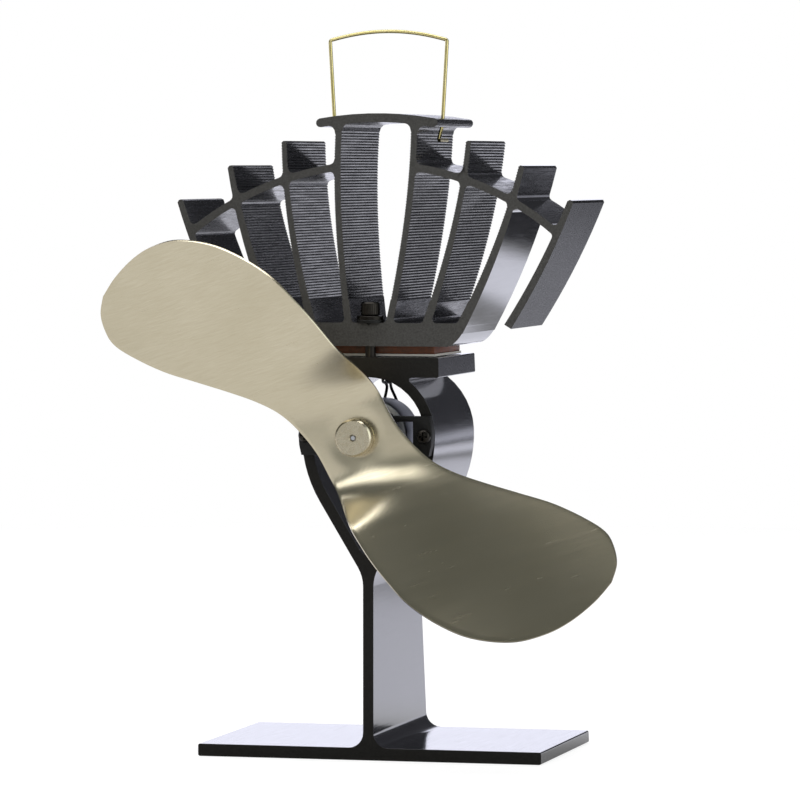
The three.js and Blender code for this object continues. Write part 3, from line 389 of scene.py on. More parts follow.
# Tinned brass strip, soft and cloudy
TINNED = metal("tinned_brass", "#b9b19a", "#c9c4b4", 0.25, 0.4)
# Enamelled copper wire, wound side by side
COPPER = metal(
    "enamelled_copper", "#a85a2e", "#bf7442", 0.25, 0.38, period=0.35, stretch=(1, 8, 1), depth=0.02)
# Sintered bronze: a dull brown gold with open pores that hold oil
BRONZE = metal("sintered_bronze", "#8c6a3c", "#a17f4e", 0.4, 0.6, period=0.25, depth=0.01)
# Glass-filled nylon, moulded black: matt, with a fine spark-eroded grain
NYLON = dull(
    "glass_filled_nylon", "#0d0d0d", "#171716", 0.42, 0.58, period=0.35, depth=0.012, shine=0.25)
# Alumina, fired white: even and matt
ALUMINA = dull("fired_alumina", "#e6e4dc", "#f3f1ea", 0.5, 0.7, period=0.3, depth=0.006)
# High-temperature silicone: rust orange, soft sheen
SILICONE = dull("orange_silicone", "#52301d", "#7d4424", 0.4, 0.55, period=1.6, depth=0.03)
# Graphite foil and brush carbon: dark grey with a faint lead-like shine
GRAPHITE = dull("graphite_foil", "#303032", "#47474a", 0.35, 0.55, period=0.6, depth=0.008)
# Sintered ferrite: charcoal, matt and slightly pitted
FERRITE = dull("sintered_ferrite", "#242426", "#343437", 0.6, 0.8, period=0.3)


# Making pieces

def piece(name, bm, finishes, body, stands_for, sharp=30):
    """A piece from a mesh in millimetres, smooth where its faces turn by less than an angle."""
    bmesh.ops.scale(bm, vec=(MM, MM, MM), verts=bm.verts)
    mesh = bpy.data.meshes.new(name)
    bm.to_mesh(mesh)
    bm.free()
    for finish in finishes:
        mesh.materials.append(finish)
    mesh.shade_smooth()
    mesh.set_sharp_from_angle(angle=math.radians(sharp))
    return placed(name, mesh, body, stands_for)


def tidy(bm):
    """Joins doubled points and turns all the faces outwards."""
    bmesh.ops.remove_doubles(bm, verts=bm.verts, dist=SAME_POINT)
    bmesh.ops.recalc_face_normals(bm, faces=bm.faces)


def turned(profile, centre, axis, steps=48):
    """A turned shape. Its profile lists radius and place along the axis."""
    bm = bmesh.new()
    side = Vector((1, 0, 0))
    points = [bm.verts.new(Vector(centre) + side * radius + axis * along) for radius, along in profile]
    edges = [bm.edges.new(pair) for pair in zip(points, points[1:])]
    bmesh.ops.spin(bm, geom=points + edges, cent=centre, axis=axis, angle=math.tau, steps=steps,
                   use_merge=True)
    tidy(bm)
    return bm


def round_corners(bm, width, segments=2, least=40):
    """Rounds each edge whose faces turn by more than the least angle."""
    edges = [e for e in bm.edges if e.is_manifold and e.calc_face_angle() > math.radians(least)]
    bmesh.ops.bevel(bm, geom=edges, offset=width, segments=segments, profile=0.5, affect="EDGES",
                    clamp_overlap=True, material=-1)


def copy_of(node):
    """A node of the model in millimetres, with its loose triangles joined and its flat faces whole."""
    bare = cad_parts[node].data.copy()
    for shading in ("custom_normal", "sharp_edge"):
        if shading in bare.attributes:
            bare.attributes.remove(bare.attributes[shading])
    bm = bmesh.new()
    bm.from_mesh(bare)
    bpy.data.meshes.remove(bare)
    bmesh.ops.scale(bm, vec=(1 / MM, 1 / MM, 1 / MM), verts=bm.verts)
    bmesh.ops.remove_doubles(bm, verts=bm.verts, dist=SAME_POINT)
    bmesh.ops.dissolve_limit(bm, angle_limit=math.radians(0.5), verts=bm.verts, edges=bm.edges)
    return bm


def is_end(face):
    """Whether a face of an extrusion is one of its two sawn ends."""
    return abs(face.normal.y) > 0.9


def chamfer_ends(bm, width):
    """Breaks the edges between an extrusion's sides and its sawn ends."""
    edges = [
        e for e in bm.edges if e.is_manifold and is_end(e.link_faces[0]) != is_end(e.link_faces[1])
    ]
    bmesh.ops.bevel(bm, geom=edges, offset=width, segments=1, profile=0.5, affect="EDGES",
                    clamp_overlap=True, material=-1)


# Stand and heat sink: the model's own extrusions, with their sawn ends chamfered

PLAIN, SAWN, SCUFFED, RIBBED = range(4)
# Two leaning lines mark what lies past and inside the third fin: how far out they are where the fins
# start, and how far out they lean for each millimetre of height
FIN_FOOT_Z = 174
PAST_FIN, PAST_FIN_LEAN = 48, 0.44
INSIDE_FIN, INSIDE_FIN_LEAN = 40, 0.3
PLATFORM_LOW = 150


def finish_of(face):
    """Which of an extrusion's finishes a face has."""
    centre = face.calc_center_median()
    outward = face.normal.x * math.copysign(1, centre.x)
    past_third_fin = abs(centre.x) > PAST_FIN + (centre.z - FIN_FOOT_Z) * PAST_FIN_LEAN
    inside_third_fin = abs(centre.x) < INSIDE_FIN + (centre.z - FIN_FOOT_Z) * INSIDE_FIN_LEAN
    if is_end(face):
        return SAWN
    if centre.z > BLOCK_TOP:
        if past_third_fin and outward > 0.5:
            return SCUFFED
        return RIBBED if inside_third_fin or outward < 0 else PLAIN
    return SCUFFED if PLATFORM_LOW < centre.z < PLATFORM_TOP and outward > 0.9 else PLAIN


def extrusion(name, node, sides, sawn, width):
    bm = copy_of(node)
    chamfer_ends(bm, width)
    for face in bm.faces:
        face.material_index = finish_of(face)
    made = piece(name, bm, [sides, sawn, RUBBED, GROOVED], "stand", [node], sharp=25)
    # Flat faces keep their own normals where a fillet runs into them
    made.modifiers.new("flat_faces", "WEIGHTED_NORMAL").keep_sharp = True


extrusion("stand_extrusion", "stand", EXTRUDED, SAWN_STAND, 0.2)
extrusion("fin_extrusion", "heat_sink", SLEEK, SAWN_SINK, 0.12)


# Clamp bolts: a socket head, a knurled side, two cone washers and a flanged bush

SHANK, SHANK_POINT, BITE, BOLT_BORE = 2.1, 1.8, 6, 2.2
HEAD, HEAD_HEIGHT, HEAD_STEPS = 3.8, 5.2, 72
HEAD_CHAMFER, HEAD_ROUND, HEAD_KNURL = 0.5, 0.3, 0.09
SOCKET, SOCKET_DEPTH = 1.85, 2.6
# The socket's mouth is dished from this radius down to its hexagon
MOUTH, MOUTH_DROP = 2.4, 0.2
WASHER_EDGE, WASHER_RISE, WASHER_WALL = 5.4, 0.35, 0.7
BUSH_SLEEVE, BUSH_SLEEVE_LENGTH, BUSH_FLANGE, BUSH_FLANGE_WALL, BUSH_LIFT = 3, 5, 5.6, 1.2, 0.02


def socket_head(y):
    top, end = HEAD_LOW + HEAD_HEIGHT, PLATFORM_TOP - BITE
    bm = turned([
        (0, end), (SHANK_POINT, end), (SHANK, end + 0.4), (SHANK, HEAD_LOW),
        (HEAD - HEAD_ROUND, HEAD_LOW), (HEAD, HEAD_LOW + HEAD_ROUND), (HEAD, top - HEAD_CHAMFER),
        (HEAD - HEAD_CHAMFER, top), (MOUTH, top), (MOUTH - 0.1, top - 0.05),
    ], (0, y, 0), UPWARD, HEAD_STEPS)
    knurl(bm, Vector((0, y, 0)), UPWARD, HEAD, HEAD_KNURL)
    rim = [e for e in bm.edges if e.is_boundary]
    place = Matrix.Translation((0, y, top - MOUTH_DROP))
    hexagon = bmesh.ops.create_circle(bm, segments=6, radius=SOCKET, matrix=place)["verts"]
    edges = list(dict.fromkeys(e for v in hexagon for e in v.link_edges))
    bmesh.ops.bridge_loops(bm, edges=rim + edges)
    sunk(bm, edges, Vector((0, 0, -SOCKET_DEPTH)))
    tidy(bm)
    return bm


def sunk(bm, edges, move):
    """Draws a closed run of edges down into a recess, and closes its bottom."""
    walls = bmesh.ops.extrude_edge_only(bm, edges=edges)["geom"]
    bottom = [v for v in walls if isinstance(v, bmesh.types.BMVert)]
    rim = [e for e in walls if isinstance(e, bmesh.types.BMEdge) and all(v in bottom for v in e.verts)]
    bmesh.ops.translate(bm, vec=move, verts=bottom)
    bmesh.ops.holes_fill(bm, edges=rim, sides=0)


def knurl(bm, centre, axis, radius, depth):
    """Straight knurling: every other line of points on a turned piece's rim moves inwards."""
    side = axis.cross(Vector((1, 0, 0)))
    steps = {}
    for point in bm.verts:
        spoke = point.co - centre
        spoke = spoke - axis * spoke.dot(axis)
        if spoke.length > radius - 0.02:
            angle = round(math.degrees(math.atan2(spoke.dot(side), spoke.x)), 1)
            steps.setdefault(angle, []).append((point, spoke))
    for i, angle in enumerate(sorted(steps)):
        for point, spoke in steps[angle] if i % 2 else []:
            point.co -= spoke.normalized() * depth


def cone_washer(y, level):
    low = SPRING_LOW + level * SPRING_PITCH
    top = low + WASHER_WALL
    return turned([
        (BOLT_BORE, low + WASHER_RISE), (WASHER_EDGE - 0.1, low), (WASHER_EDGE, low + 0.1),
        (WASHER_EDGE, top - 0.1), (WASHER_EDGE - 0.1, top), (BOLT_BORE, top + WASHER_RISE),
        (BOLT_BORE, low + WASHER_RISE),
    ], (0, y, 0), UPWARD)


def flanged_bush(y):
    seat, end = BLOCK_TOP + BUSH_LIFT, BLOCK_TOP - BUSH_SLEEVE_LENGTH
    top = seat + BUSH_FLANGE_WALL
    return turned([
        (BOLT_BORE, end), (BUSH_SLEEVE - 0.2, end), (BUSH_SLEEVE, end + 0.2), (BUSH_SLEEVE, seat),
        (BUSH_FLANGE, seat), (BUSH_FLANGE, top - 0.25), (BUSH_FLANGE - 0.25, top), (BOLT_BORE, top),
        (BOLT_BORE, end),
    ], (0, y, 0), UPWARD)


for end, bolt_y in (("front", FRONT_BOLT_Y), ("rear", REAR_BOLT_Y)):
    piece(f"cap_screw_{end}", socket_head(bolt_y), [BLACK_STEEL], "stand",
          [f"clamp_bolt_{end}"])
    piece(f"clamp_bush_{end}", flanged_bush(bolt_y), [NYLON], "stand",
          [f"bolt_bush_{end}"])
    for level, place in enumerate(("lower", "upper")):
        piece(f"cone_washer_{end}_{place}", cone_washer(bolt_y, level), [BLACK_STEEL], "stand",
              [f"spring_washer_{end}_{place}"])


# Motor bracket, and cross-recess screws. Along Y a screw runs from its head's back to its tip.

TAB_SCREW_X, CAN_SCREW_X = 24.4, 6.5
TAB_SCREW = {
    "head_back": -50.44, "tip": -38.44, "shank": 1.4, "head": 2.85, "height": 2.3,
    "reach": 1.8, "width": 0.8, "depth": 1.3,
}
CAN_SCREW = {
    "head_back": -40.04, "tip": -35.5, "shank": 0.95, "head": 1.8, "height": 1.4,
    "reach": 1.2, "width": 0.45, "depth": 0.7,
}
# The cross narrows to this share of its width at its bottom
CROSS_TAPER = 0.6


def softened(node, width, segments=2):
    bm = copy_of(node)
    round_corners(bm, width, segments)
    return bm


def cross_screw(x, head_back, tip, shank, head, height, reach, width, depth):
    """A pan-head screw along Y. The arms of the cross in its head reach out from the middle."""
    front = head_back - height
    centre, middle = Vector((x, 0, AXIS_Z)), Vector((x, front, AXIS_Z))
    bm = turned([
        (head * 0.66, front + 0.04), (head * 0.8, front + height * 0.12),
        (head * 0.93, front + height * 0.35), (head, front + height * 0.62), (head, head_back),
        (shank, head_back), (shank, tip - shank * 0.5), (shank * 0.5, tip), (0, tip),
    ], centre, ALONG_Y, 24)
    rim = [e for e in bm.edges if e.is_boundary]
    flat = Matrix.Translation(middle) @ Matrix.Rotation(math.radians(90), 4, "X")
    grid = bmesh.ops.create_grid(bm, x_segments=3, y_segments=3, size=reach, matrix=flat)["verts"]
    for point in grid:
        spoke = point.co - middle
        for i in (0, 2):
            if abs(spoke[i]) < reach * 0.5:
                spoke[i] = math.copysign(width / 2, spoke[i])
        point.co = middle + spoke
    faces = list({f for v in grid for f in v.link_faces})
    # The grid's corner faces lie off both arms
    corners = [
        f for f in faces
        if min(abs((f.calc_center_median() - centre)[i]) for i in (0, 2)) > width * 0.6
    ]
    cross = [f for f in faces if f not in corners]
    bmesh.ops.delete(bm, geom=corners, context="FACES_ONLY")
    loose = [e for e in bm.edges if not e.link_faces]
    bmesh.ops.delete(bm, geom=loose, context="EDGES")
    stray = [v for v in bm.verts if not v.link_edges]
    bmesh.ops.delete(bm, geom=stray, context="VERTS")
    inner = [e for e in bm.edges if e.is_boundary and e not in rim]
    bmesh.ops.bridge_loops(bm, edges=rim + inner)
    raised = bmesh.ops.extrude_face_region(bm, geom=cross)["geom"]
    bmesh.ops.delete(bm, geom=cross, context="FACES_ONLY")
    bottom = [v for v in raised if isinstance(v, bmesh.types.BMVert)]
    for point in bottom:
        point.co = middle + ALONG_Y * depth + (point.co - middle) * CROSS_TAPER
    tidy(bm)
    return bm


piece("bracket_moulding", softened("motor_bracket", 0.3), [NYLON], "stand",
      ["motor_bracket"])
for hand, side in (("left", -1), ("right", 1)):
    piece(f"tab_screw_{hand}", cross_screw(side * TAB_SCREW_X, **TAB_SCREW), [BLACK_STEEL], "stand",
          [f"bracket_screw_{hand}"])
    piece(f"can_screw_{hand}", cross_screw(side * CAN_SCREW_X, **CAN_SCREW), [PLATED], "stand",
          [f"motor_screw_{hand}"])


# Motor: a drawn can with a rolled front edge and an end cap set in its rear

CAN_FRONT_Y, CAN_BACK_Y = -37.5, -17.5
CAN_RADIUS, CAN_WALL, CAN_MOUTH = 14, 1, 3.1


def motor_can():
    inner, lined = CAN_RADIUS - CAN_WALL, CAN_FRONT_Y + CAN_WALL
    bm = turned([
        (CAN_MOUTH, CAN_FRONT_Y), (CAN_RADIUS - 1.2, CAN_FRONT_Y),
        (CAN_RADIUS - 0.4, CAN_FRONT_Y + 0.3), (CAN_RADIUS, CAN_FRONT_Y + 1.1),
        (CAN_RADIUS, CAN_BACK_Y), (inner, CAN_BACK_Y), (inner, lined + 0.3), (inner - 0.4, lined),
        (CAN_MOUTH, lined), (CAN_MOUTH, CAN_FRONT_Y),
    ], AXIS, ALONG_Y, 96)
    round_corners(bm, 0.15)
    return bm


piece("drawn_can", motor_can(), [PLATED], "stand", ["motor_can"])
piece("end_cap_moulding", softened("motor_end_cap", 0.2), [NYLON], "stand",
      ["motor_end_cap"])


# Rotor: the twisted blade, its knob and collar, and the shaft

# The trailing edge of the blade from tip to tip, as shares of its radius. The leading edge is the same,
# turned half round.
TRAILING_EDGE_SHARES = (
    (-1, 0), (-0.985, 0.058), (-0.95, 0.101), (-0.9, 0.132), (-0.82, 0.1385), (-0.7, 0.13),
    (-0.58, 0.105), (-0.46, 0.079), (-0.36, 0.0615), (-0.27, 0.058), (-0.18, 0.0775), (-0.09, 0.114),
    (0, 0.172), (0.09, 0.221), (0.18, 0.26), (0.27, 0.301), (0.36, 0.335), (0.46, 0.365),
    (0.58, 0.374), (0.7, 0.361), (0.82, 0.313), (0.9, 0.244), (0.95, 0.17), (0.985, 0.08), (1, 0),
)
BLADE_RADIUS = 117.9
BLADE_LEAN = math.radians(28)
BLADE_Y = -64.6
BLADE_THICKNESS = 1
BLADE_STEPS_ALONG, BLADE_STEPS_OVER = 144, 28
# The sheet is flat round the hub. Past a fold line it bends up to its full section, deeper at the root.
FOLD_ANGLE = math.radians(34.8)
FLAT_REACH, FULL_REACH, EASE_REACH, ROOT_SHARE = 10.8, 35.3, 78.4, 0.2
SECTION_OFFSET, SECTION_SLOPE, SECTION_CAMBER = 5.9, 0.266, 100
# The knob clamps the sheet a little into a dish
DISH_DEPTH, DISH_FROM, DISH_FULL, DISH_END = 0.5, 6.5, 13, 26


def edge_point(share):
    """A point on the trailing edge, on a smooth curve through its table."""
    table = TRAILING_EDGE_SHARES
    place = share * (len(table) - 1)
    i = min(int(place), len(table) - 2)
    t = place - i
    a, b, c, d = (table[min(max(i + k, 0), len(table) - 1)] for k in (-1, 0, 1, 2))
    out = []
    for k in (0, 1):
        start, end = (c[k] - a[k]) / 2, (d[k] - b[k]) / 2
        out.append((2 * b[k] - 2 * c[k] + start + end) * t ** 3
                   + (-3 * b[k] + 3 * c[k] - 2 * start - end) * t ** 2 + start * t + b[k])
    return Vector(out) * BLADE_RADIUS


def smoothstep(value, low, high):
    t = min(max((value - low) / (high - low), 0), 1)
    return t * t * (3 - 2 * t)


def blade_forward(u, v):
    """How far the sheet comes forward of the hub's plane, u along the lobes and v across them."""
    reach = u * math.cos(FOLD_ANGLE) + v * math.sin(FOLD_ANGLE)
    across = (v if reach >= 0 else -v) + SECTION_OFFSET
    grow = smoothstep(abs(reach), FLAT_REACH, FULL_REACH)
    ease = 1 - smoothstep(abs(reach), FULL_REACH, EASE_REACH)
    section = SECTION_SLOPE * across + across * across / (2 * SECTION_CAMBER)
    away = math.hypot(u, v)
    rise, fall = smoothstep(away, DISH_FROM, DISH_FULL), 1 - smoothstep(away, DISH_FULL, DISH_END)
    return DISH_DEPTH * rise * fall + grow * (1 + ROOT_SHARE * ease) * section


def twisted_blade():
    bm = bmesh.new()
    bmesh.ops.create_grid(bm, x_segments=BLADE_STEPS_ALONG, y_segments=BLADE_STEPS_OVER, size=1)
    for point in bm.verts:
        share, cross = (point.co.x + 1) / 2, (point.co.y + 1) / 2
        trailing, leading = edge_point(share), -edge_point(1 - share)
        u, v = leading.lerp(trailing, cross)
        point.co = Vector((
            u * math.cos(BLADE_LEAN) - v * math.sin(BLADE_LEAN),
            BLADE_Y - blade_forward(u, v),
            AXIS_Z - u * math.sin(BLADE_LEAN) - v * math.cos(BLADE_LEAN),
        ))
    # Each tip is one row of points in the same place
    bmesh.ops.remove_doubles(bm, verts=bm.verts, dist=10 * SAME_POINT)
    for face in bm.faces:
        face.normal_update()
    if sum(face.normal.y for face in bm.faces) > 0:
        bmesh.ops.reverse_faces(bm, faces=bm.faces)
    bmesh.ops.solidify(bm, geom=bm.faces[:], thickness=BLADE_THICKNESS)
    bmesh.ops.recalc_face_normals(bm, faces=bm.faces)
    round_corners(bm, 0.28, least=60)
    return bm


HUB_BORE = 1.1
KNOB_RADIUS, KNOB_FRONT_Y, KNOB_BACK_Y, KNOB_STEPS, KNOB_KNURL = 7.5, -69.6, -64.7, 144, 0.07
COLLAR_RADIUS, COLLAR_FRONT_Y, COLLAR_BACK_Y = 4, -63.5, -57.5
SHAFT_RADIUS, SHAFT_FRONT_Y, SHAFT_BACK_Y = 1, -69.2, -17.7


def hub_knob():
    radius, front, back = KNOB_RADIUS, KNOB_FRONT_Y, KNOB_BACK_Y
    bm = turned([
        (HUB_BORE, front + 0.5), (HUB_BORE + 0.4, front), (radius - 0.8, front),
        (radius - 0.15, front + 0.55), (radius, front + 0.85), (radius, back - 0.4),
        (radius - 0.3, back), (HUB_BORE, back), (HUB_BORE, front + 0.5),
    ], AXIS, ALONG_Y, KNOB_STEPS)
    knurl(bm, AXIS, ALONG_Y, radius, KNOB_KNURL)
    return bm


def rounded_rod(radius, front, back):
    edge = radius * 0.2
    return turned([
        (0, front), (radius - edge, front), (radius, front + edge), (radius, back - edge),
        (radius - edge, back), (0, back),
    ], AXIS, ALONG_Y, 32)


def hub_collar():
    bm = turned([
        (HUB_BORE, COLLAR_FRONT_Y), (COLLAR_RADIUS, COLLAR_FRONT_Y), (COLLAR_RADIUS, COLLAR_BACK_Y),
        (HUB_BORE, COLLAR_BACK_Y), (HUB_BORE, COLLAR_FRONT_Y),
    ], AXIS, ALONG_Y)
    round_corners(bm, 0.3)
    return bm


piece("twisted_blade", twisted_blade(), [BRUSHED], "rotor", ["blade"], sharp=50)
piece("knurled_knob", hub_knob(), [TURNED], "rotor", ["hub_knob"])
piece("hub_collar", hub_collar(), [GROUND], "rotor", ["blade_collar"])
piece("motor_shaft", rounded_rod(SHAFT_RADIUS, SHAFT_FRONT_Y, SHAFT_BACK_Y), [GROUND], "rotor",
      ["shaft"])


# Handle: one brass wire, bent to a bail. Its foot, kink and top corner are measured from the slot.

WIRE_RADIUS, WIRE_BEND = 0.75, 1
FOOT_IN, FOOT_LENGTH, FOOT_DROP = 1.2, 14, 7.1
KINK_OUT, KINK_DROP = 0.4, 0.6
TOP_OUT, TOP_RISE = 2.3, 33.2
# The bow starts just inside each top corner and rises to a crown
BOW_RUN, BOW_RISE, CROWN_RISE, BOW_STEPS = 2.2, 6.6, 6.58, 24


def bend_through(points, radius, steps=6):
    """Straight runs between points, with each corner rounded."""
    run = [points[0]]
    for before, corner, after in zip(points, points[1:], points[2:]):
        back, on = (before - corner).normalized(), (after - corner).normalized()
        reach = radius / math.tan(back.angle(on) / 2)
        start, end = corner + back * reach, corner + on * reach
        for i in range(steps + 1):
            t = i / steps
            run.append(start * (1 - t) ** 2 + corner * 2 * t * (1 - t) + end * t ** 2)
    return run + [points[-1]]


def bail_points():
    top_x, top_z = SLOT_X + TOP_OUT, SLOT_Z + TOP_RISE
    right = [
        Vector((SLOT_X - FOOT_IN, SLOT_Y + FOOT_LENGTH, SLOT_Z - FOOT_DROP)),
        Vector((SLOT_X - FOOT_IN, SLOT_Y, SLOT_Z - FOOT_DROP)),
        Vector((SLOT_X + KINK_OUT, SLOT_Y, SLOT_Z - KINK_DROP)),
        Vector((top_x, SLOT_Y, top_z)),
        Vector((top_x - BOW_RUN, SLOT_Y, top_z + BOW_RUN * BOW_RISE / top_x)),
    ]
    half = bend_through(right, WIRE_BEND)
    crown = Vector((0, SLOT_Y, top_z + CROWN_RISE))
    left = [Vector((-p.x, p.y, p.z)) for p in reversed(half)]
    shares = [i / BOW_STEPS for i in range(1, BOW_STEPS)]
    bow = [half[-1].lerp(crown, t).lerp(crown.lerp(left[0], t), t) for t in shares]
    return half + bow + left


line_piece("wire_bail", bail_points(), WIRE_RADIUS, BRASS, "handle", ["handle"])


# The module's rubbery seal, and finishes for the nodes that keep their own shape

piece("silicone_seal", softened("module_seal", 0.35, 3), [SILICONE], "stand",
      ["module_seal"])

KEPT = {
    "hot_foil": GRAPHITE, "cold_foil": GRAPHITE, "pellet_block": GRAPHITE, "hot_plate": ALUMINA,
    "cold_plate": ALUMINA, "front_bush": BRONZE, "rear_bush": BRONZE, "magnet_left": FERRITE,
    "magnet_right": FERRITE, "brush_left": GRAPHITE, "brush_right": GRAPHITE,
    "brush_arm_left": TINNED, "brush_arm_right": TINNED, "terminal_left": TINNED,
    "terminal_right": TINNED, "armature_core": PLATED, "winding_1": COPPER, "winding_2": COPPER,
    "winding_3": COPPER, "commutator": COPPER,
}
for node, finish in KEPT.items():
    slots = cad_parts[node].data.materials
    slots.clear()
    slots.append(finish)


# Studio: a pale floor, a bright room behind, a dim room in front, and a soft box overhead

# A white with a faint blue cast, for what gloss sees behind the fan
COOL_WHITE = linear("#eeeffe")
# A broad soft window in front, up and to the left, from its rim to where it is fully bright
WINDOW_WAY = Vector((-0.38, -0.81, 0.45)).normalized()
WINDOW_RIM, WINDOW_FULL = math.cos(math.radians(18)), math.cos(math.radians(8))
TABLE_RADIUS, TABLE_GAP = 1.4, 0.0002


def lamp(name, place, aim, size, power, glossy=True):
    data = bpy.data.lights.new(name, "AREA")
    data.shape = "RECTANGLE"
    data.size, data.size_y = size
    data.energy = power
    made = bpy.data.objects.new(name, data)
    made.location = place
    made.rotation_euler = (Vector(aim) - Vector(place)).to_track_quat("-Z", "Y").to_euler()
    made.visible_glossy = glossy
    bpy.context.scene.collection.objects.link(made)


def room():
    """The camera sees white all round. Gloss sees a lit backdrop behind, as high as the fan's picture
    needs, a dim room above it, and in front a dim room over a pale foreground."""
    world = bpy.data.worlds.new("room")
    bpy.context.scene.world = world
    world.use_nodes = True
    tree = world.node_tree
    tree.nodes.clear()
    path = add(tree, "ShaderNodeLightPath")
    glossy = path.outputs["Is Glossy Ray"]
    way = add(tree, "ShaderNodeTexCoord").outputs["Generated"]
    x, y, z = add(tree, "ShaderNodeSeparateXYZ", {0: way}).outputs
    facing = add(tree, "ShaderNodeVectorMath", {0: way, 1: WINDOW_WAY}, operation="DOT_PRODUCT")
    # The backdrop narrows to the right, and it is brightest at its left
    top = add(tree, "ShaderNodeMath", {0: x, 1: 0.6, 2: z}, operation="MULTIPLY_ADD")
    bottom = add(tree, "ShaderNodeMath", {0: x, 1: -0.25, 2: z}, operation="MULTIPLY_ADD")
    # Each level steps smoothly from one value to another over a stretch of what it reads
    level = {}
    for name, read, low, high, start, end in (
        ("behind", y, 0, 0.4, 0, 1),
        ("foot", bottom, -0.14, -0.126, 0.04, 1),
        ("head", top, 0.07, 0.13, 1, 0.05),
        ("lit", x, -0.25, 0.25, 1.5, 1.15),
        ("front", z, -0.1, 0.15, 0.8, 0.125),
        ("above", z, -0.1, 0.15, 0, 1),
        ("window", facing, WINDOW_RIM, WINDOW_FULL, 0, 2.4),
        ("beside_window", facing, WINDOW_RIM, WINDOW_FULL, 1, 0),
        ("right", x, 0.6, 0.85, 0, 1.7),
    ):
        level[name] = add(tree, "ShaderNodeMapRange", {
            "Value": read, "From Min": low, "From Max": high, "To Min": start, "To Max": end,
        }, interpolation_type="SMOOTHSTEP")
    band = add(tree, "ShaderNodeMath", {0: level["foot"], 1: level["head"]}, operation="MULTIPLY")
    backdrop = add(tree, "ShaderNodeMath", {0: band, 1: level["lit"]}, operation="MULTIPLY")
    windows = add(tree, "ShaderNodeMath", {0: level["window"], 1: level["right"]}, operation="MAXIMUM")
    ahead = add(tree, "ShaderNodeMath", {0: level["front"], 1: windows}, operation="MAXIMUM")
    seen = add(tree, "ShaderNodeMix", {0: level["behind"], 2: ahead, 3: backdrop}, data_type="FLOAT")
    gloss = add(tree, "ShaderNodeMix", {0: glossy, 2: 0.5, 3: seen}, data_type="FLOAT")
    clear = add(tree, "ShaderNodeMath", {
        0: path.outputs["Is Camera Ray"], 1: path.outputs["Is Transmission Ray"],
    }, operation="MAXIMUM")
    strength = add(tree, "ShaderNodeMix", {0: clear, 2: gloss, 3: 1.0}, data_type="FLOAT")
    # For gloss, the dim room in front has a faint green cast, and its window has none
    dim = add(tree, "ShaderNodeMath", {0: level["above"], 1: level["beside_window"]},
              operation="MULTIPLY")
    green = add(tree, "ShaderNodeMath", {0: dim, 1: glossy}, operation="MULTIPLY")
    plain = add(tree, "ShaderNodeMix", {0: green, 6: WHITE, 7: linear("#f7fffd")}, data_type="RGBA")
    cool = add(tree, "ShaderNodeMath", {0: level["behind"], 1: glossy}, operation="MULTIPLY")
    tone = add(tree, "ShaderNodeMix", {0: cool, 6: plain, 7: COOL_WHITE}, data_type="RGBA")
    back = add(tree, "ShaderNodeBackground", {"Color": tone, "Strength": strength})
    add(tree, "ShaderNodeOutputWorld", {"Surface": back})


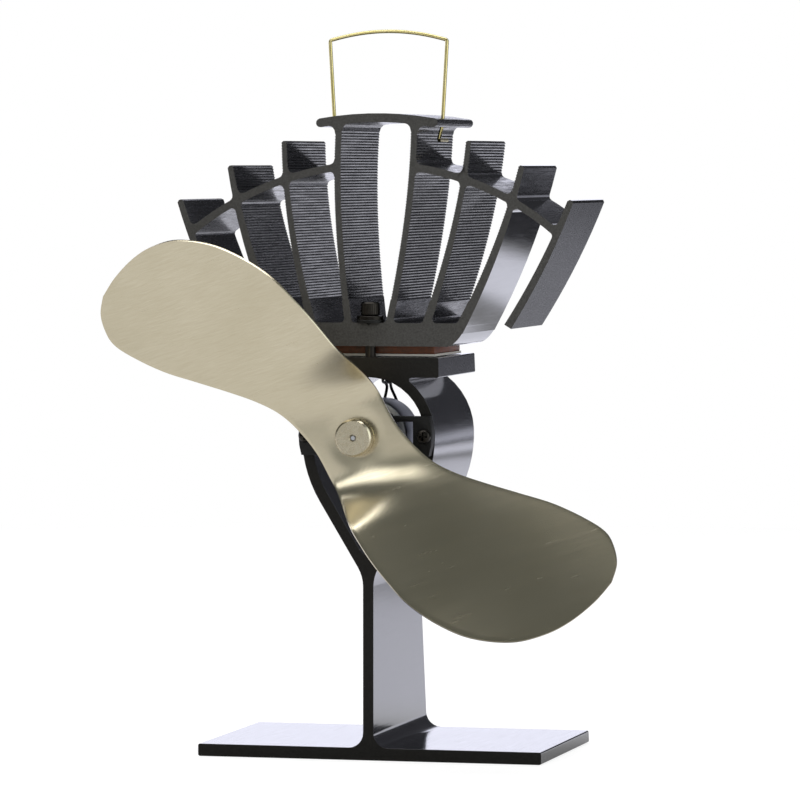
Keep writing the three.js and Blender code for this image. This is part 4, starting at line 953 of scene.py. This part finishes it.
def white_table():
    """A white painted table top. It glows for the camera and for gloss, and keeps the fan's shadow. For
    gloss its glow is painted: painted light behind the fan, and a painted shadow of the fan round its
    base.
    """
    made, tree = new_material("white_table")
    path = add(tree, "ShaderNodeLightPath")
    camera, glossy = path.outputs["Is Camera Ray"], path.outputs["Is Glossy Ray"]
    grain = pattern(tree, 60)
    tone = toned(tree, grain, linear("#f2f2f2"), linear("#f6f6f6"))
    top = add(tree, "ShaderNodeBsdfDiffuse", {"Color": tone})
    place = add(tree, "ShaderNodeTexCoord").outputs["Object"]
    away = add(tree, "ShaderNodeVectorMath", {0: place}, operation="LENGTH")
    across = add(tree, "ShaderNodeSeparateXYZ", {0: place}).outputs["Y"]
    # For gloss the glow is painted light and shade: behind the fan, painted light close by and, past a
    # painted strip of shade, along its far edge; in front, a painted shadow of the fan round its base
    level = {}
    for name, read, low, high, start, end in (
        ("rear", across, -0.05, 0.25, 0, 1),
        ("close", away, 0.78, 0.86, 1.25, 0.15),
        ("far", away, 0.94, 1.02, 0, 1.6),
        ("fade", away, 1.24, 1.38, 1, 0.04),
        ("under", away, 0.07, 0.17, 0.25, 1),
    ):
        level[name] = add(tree, "ShaderNodeMapRange", {
            "Value": read, "From Min": low, "From Max": high, "To Min": start, "To Max": end,
        }, interpolation_type="SMOOTHSTEP")
    lights = add(tree, "ShaderNodeMath", {0: level["close"], 1: level["far"]}, operation="ADD")
    even = add(tree, "ShaderNodeMix", {0: level["rear"], 2: 0.72, 3: lights}, data_type="FLOAT")
    lit = add(tree, "ShaderNodeMath", {0: even, 1: level["fade"]}, operation="MULTIPLY")
    # The painted shadow of the fan, round the base in front, seen only by gloss
    painted_fan_shadow = add(tree, "ShaderNodeMix", {
        0: level["rear"], 6: level["under"], 7: WHITE,
    }, data_type="RGBA")
    painted_gloss_glow = add(tree, "ShaderNodeMath", {0: lit, 1: painted_fan_shadow}, operation="MULTIPLY")
    cool = add(tree, "ShaderNodeMath", {0: level["rear"], 1: glossy}, operation="MULTIPLY")
    hue = add(tree, "ShaderNodeMix", {0: cool, 6: WHITE, 7: COOL_WHITE}, data_type="RGBA")
    bright = add(tree, "ShaderNodeMix", {0: camera, 2: painted_gloss_glow, 3: 1.15}, data_type="FLOAT")
    light = add(tree, "ShaderNodeEmission", {"Color": hue, "Strength": bright})
    seen = add(tree, "ShaderNodeMath", {0: camera, 1: glossy}, operation="MAXIMUM")
    share = add(tree, "ShaderNodeMath", {0: seen, 1: 0.7}, operation="MULTIPLY")
    both = add(tree, "ShaderNodeMixShader", {0: share, 1: top, 2: light})
    add(tree, "ShaderNodeOutputMaterial", {"Surface": both})
    return made


def floor():
    """A round table top, a hair under the base so that the two don't flicker."""
    bm = bmesh.new()
    bmesh.ops.create_circle(bm, cap_ends=True, segments=64, radius=TABLE_RADIUS)
    bmesh.ops.translate(bm, vec=(0, 0, -TABLE_GAP), verts=bm.verts)
    mesh = bpy.data.meshes.new("table_top")
    bm.to_mesh(mesh)
    bm.free()
    mesh.materials.append(white_table())
    sheet = bpy.data.objects.new("table_top", mesh)
    bpy.context.scene.collection.objects.link(sheet)


room()
floor()
lamp("overhead", place=(-0.25, 0.05, 1.35), aim=(-0.25, 0.05, 0), size=(1.6, 0.75), power=13)
lamp("key", place=(-0.61, -1.74, 1.03), aim=(0, -0.06, 0.12), size=(0.9, 0.8), power=7, glossy=False)
lamp("side_fill", place=(1.5, -0.4, 0.6), aim=(0, 0, 0.15), size=(0.8, 0.8), power=5, glossy=False)
bpy.context.scene.view_settings.view_transform = "Standard"
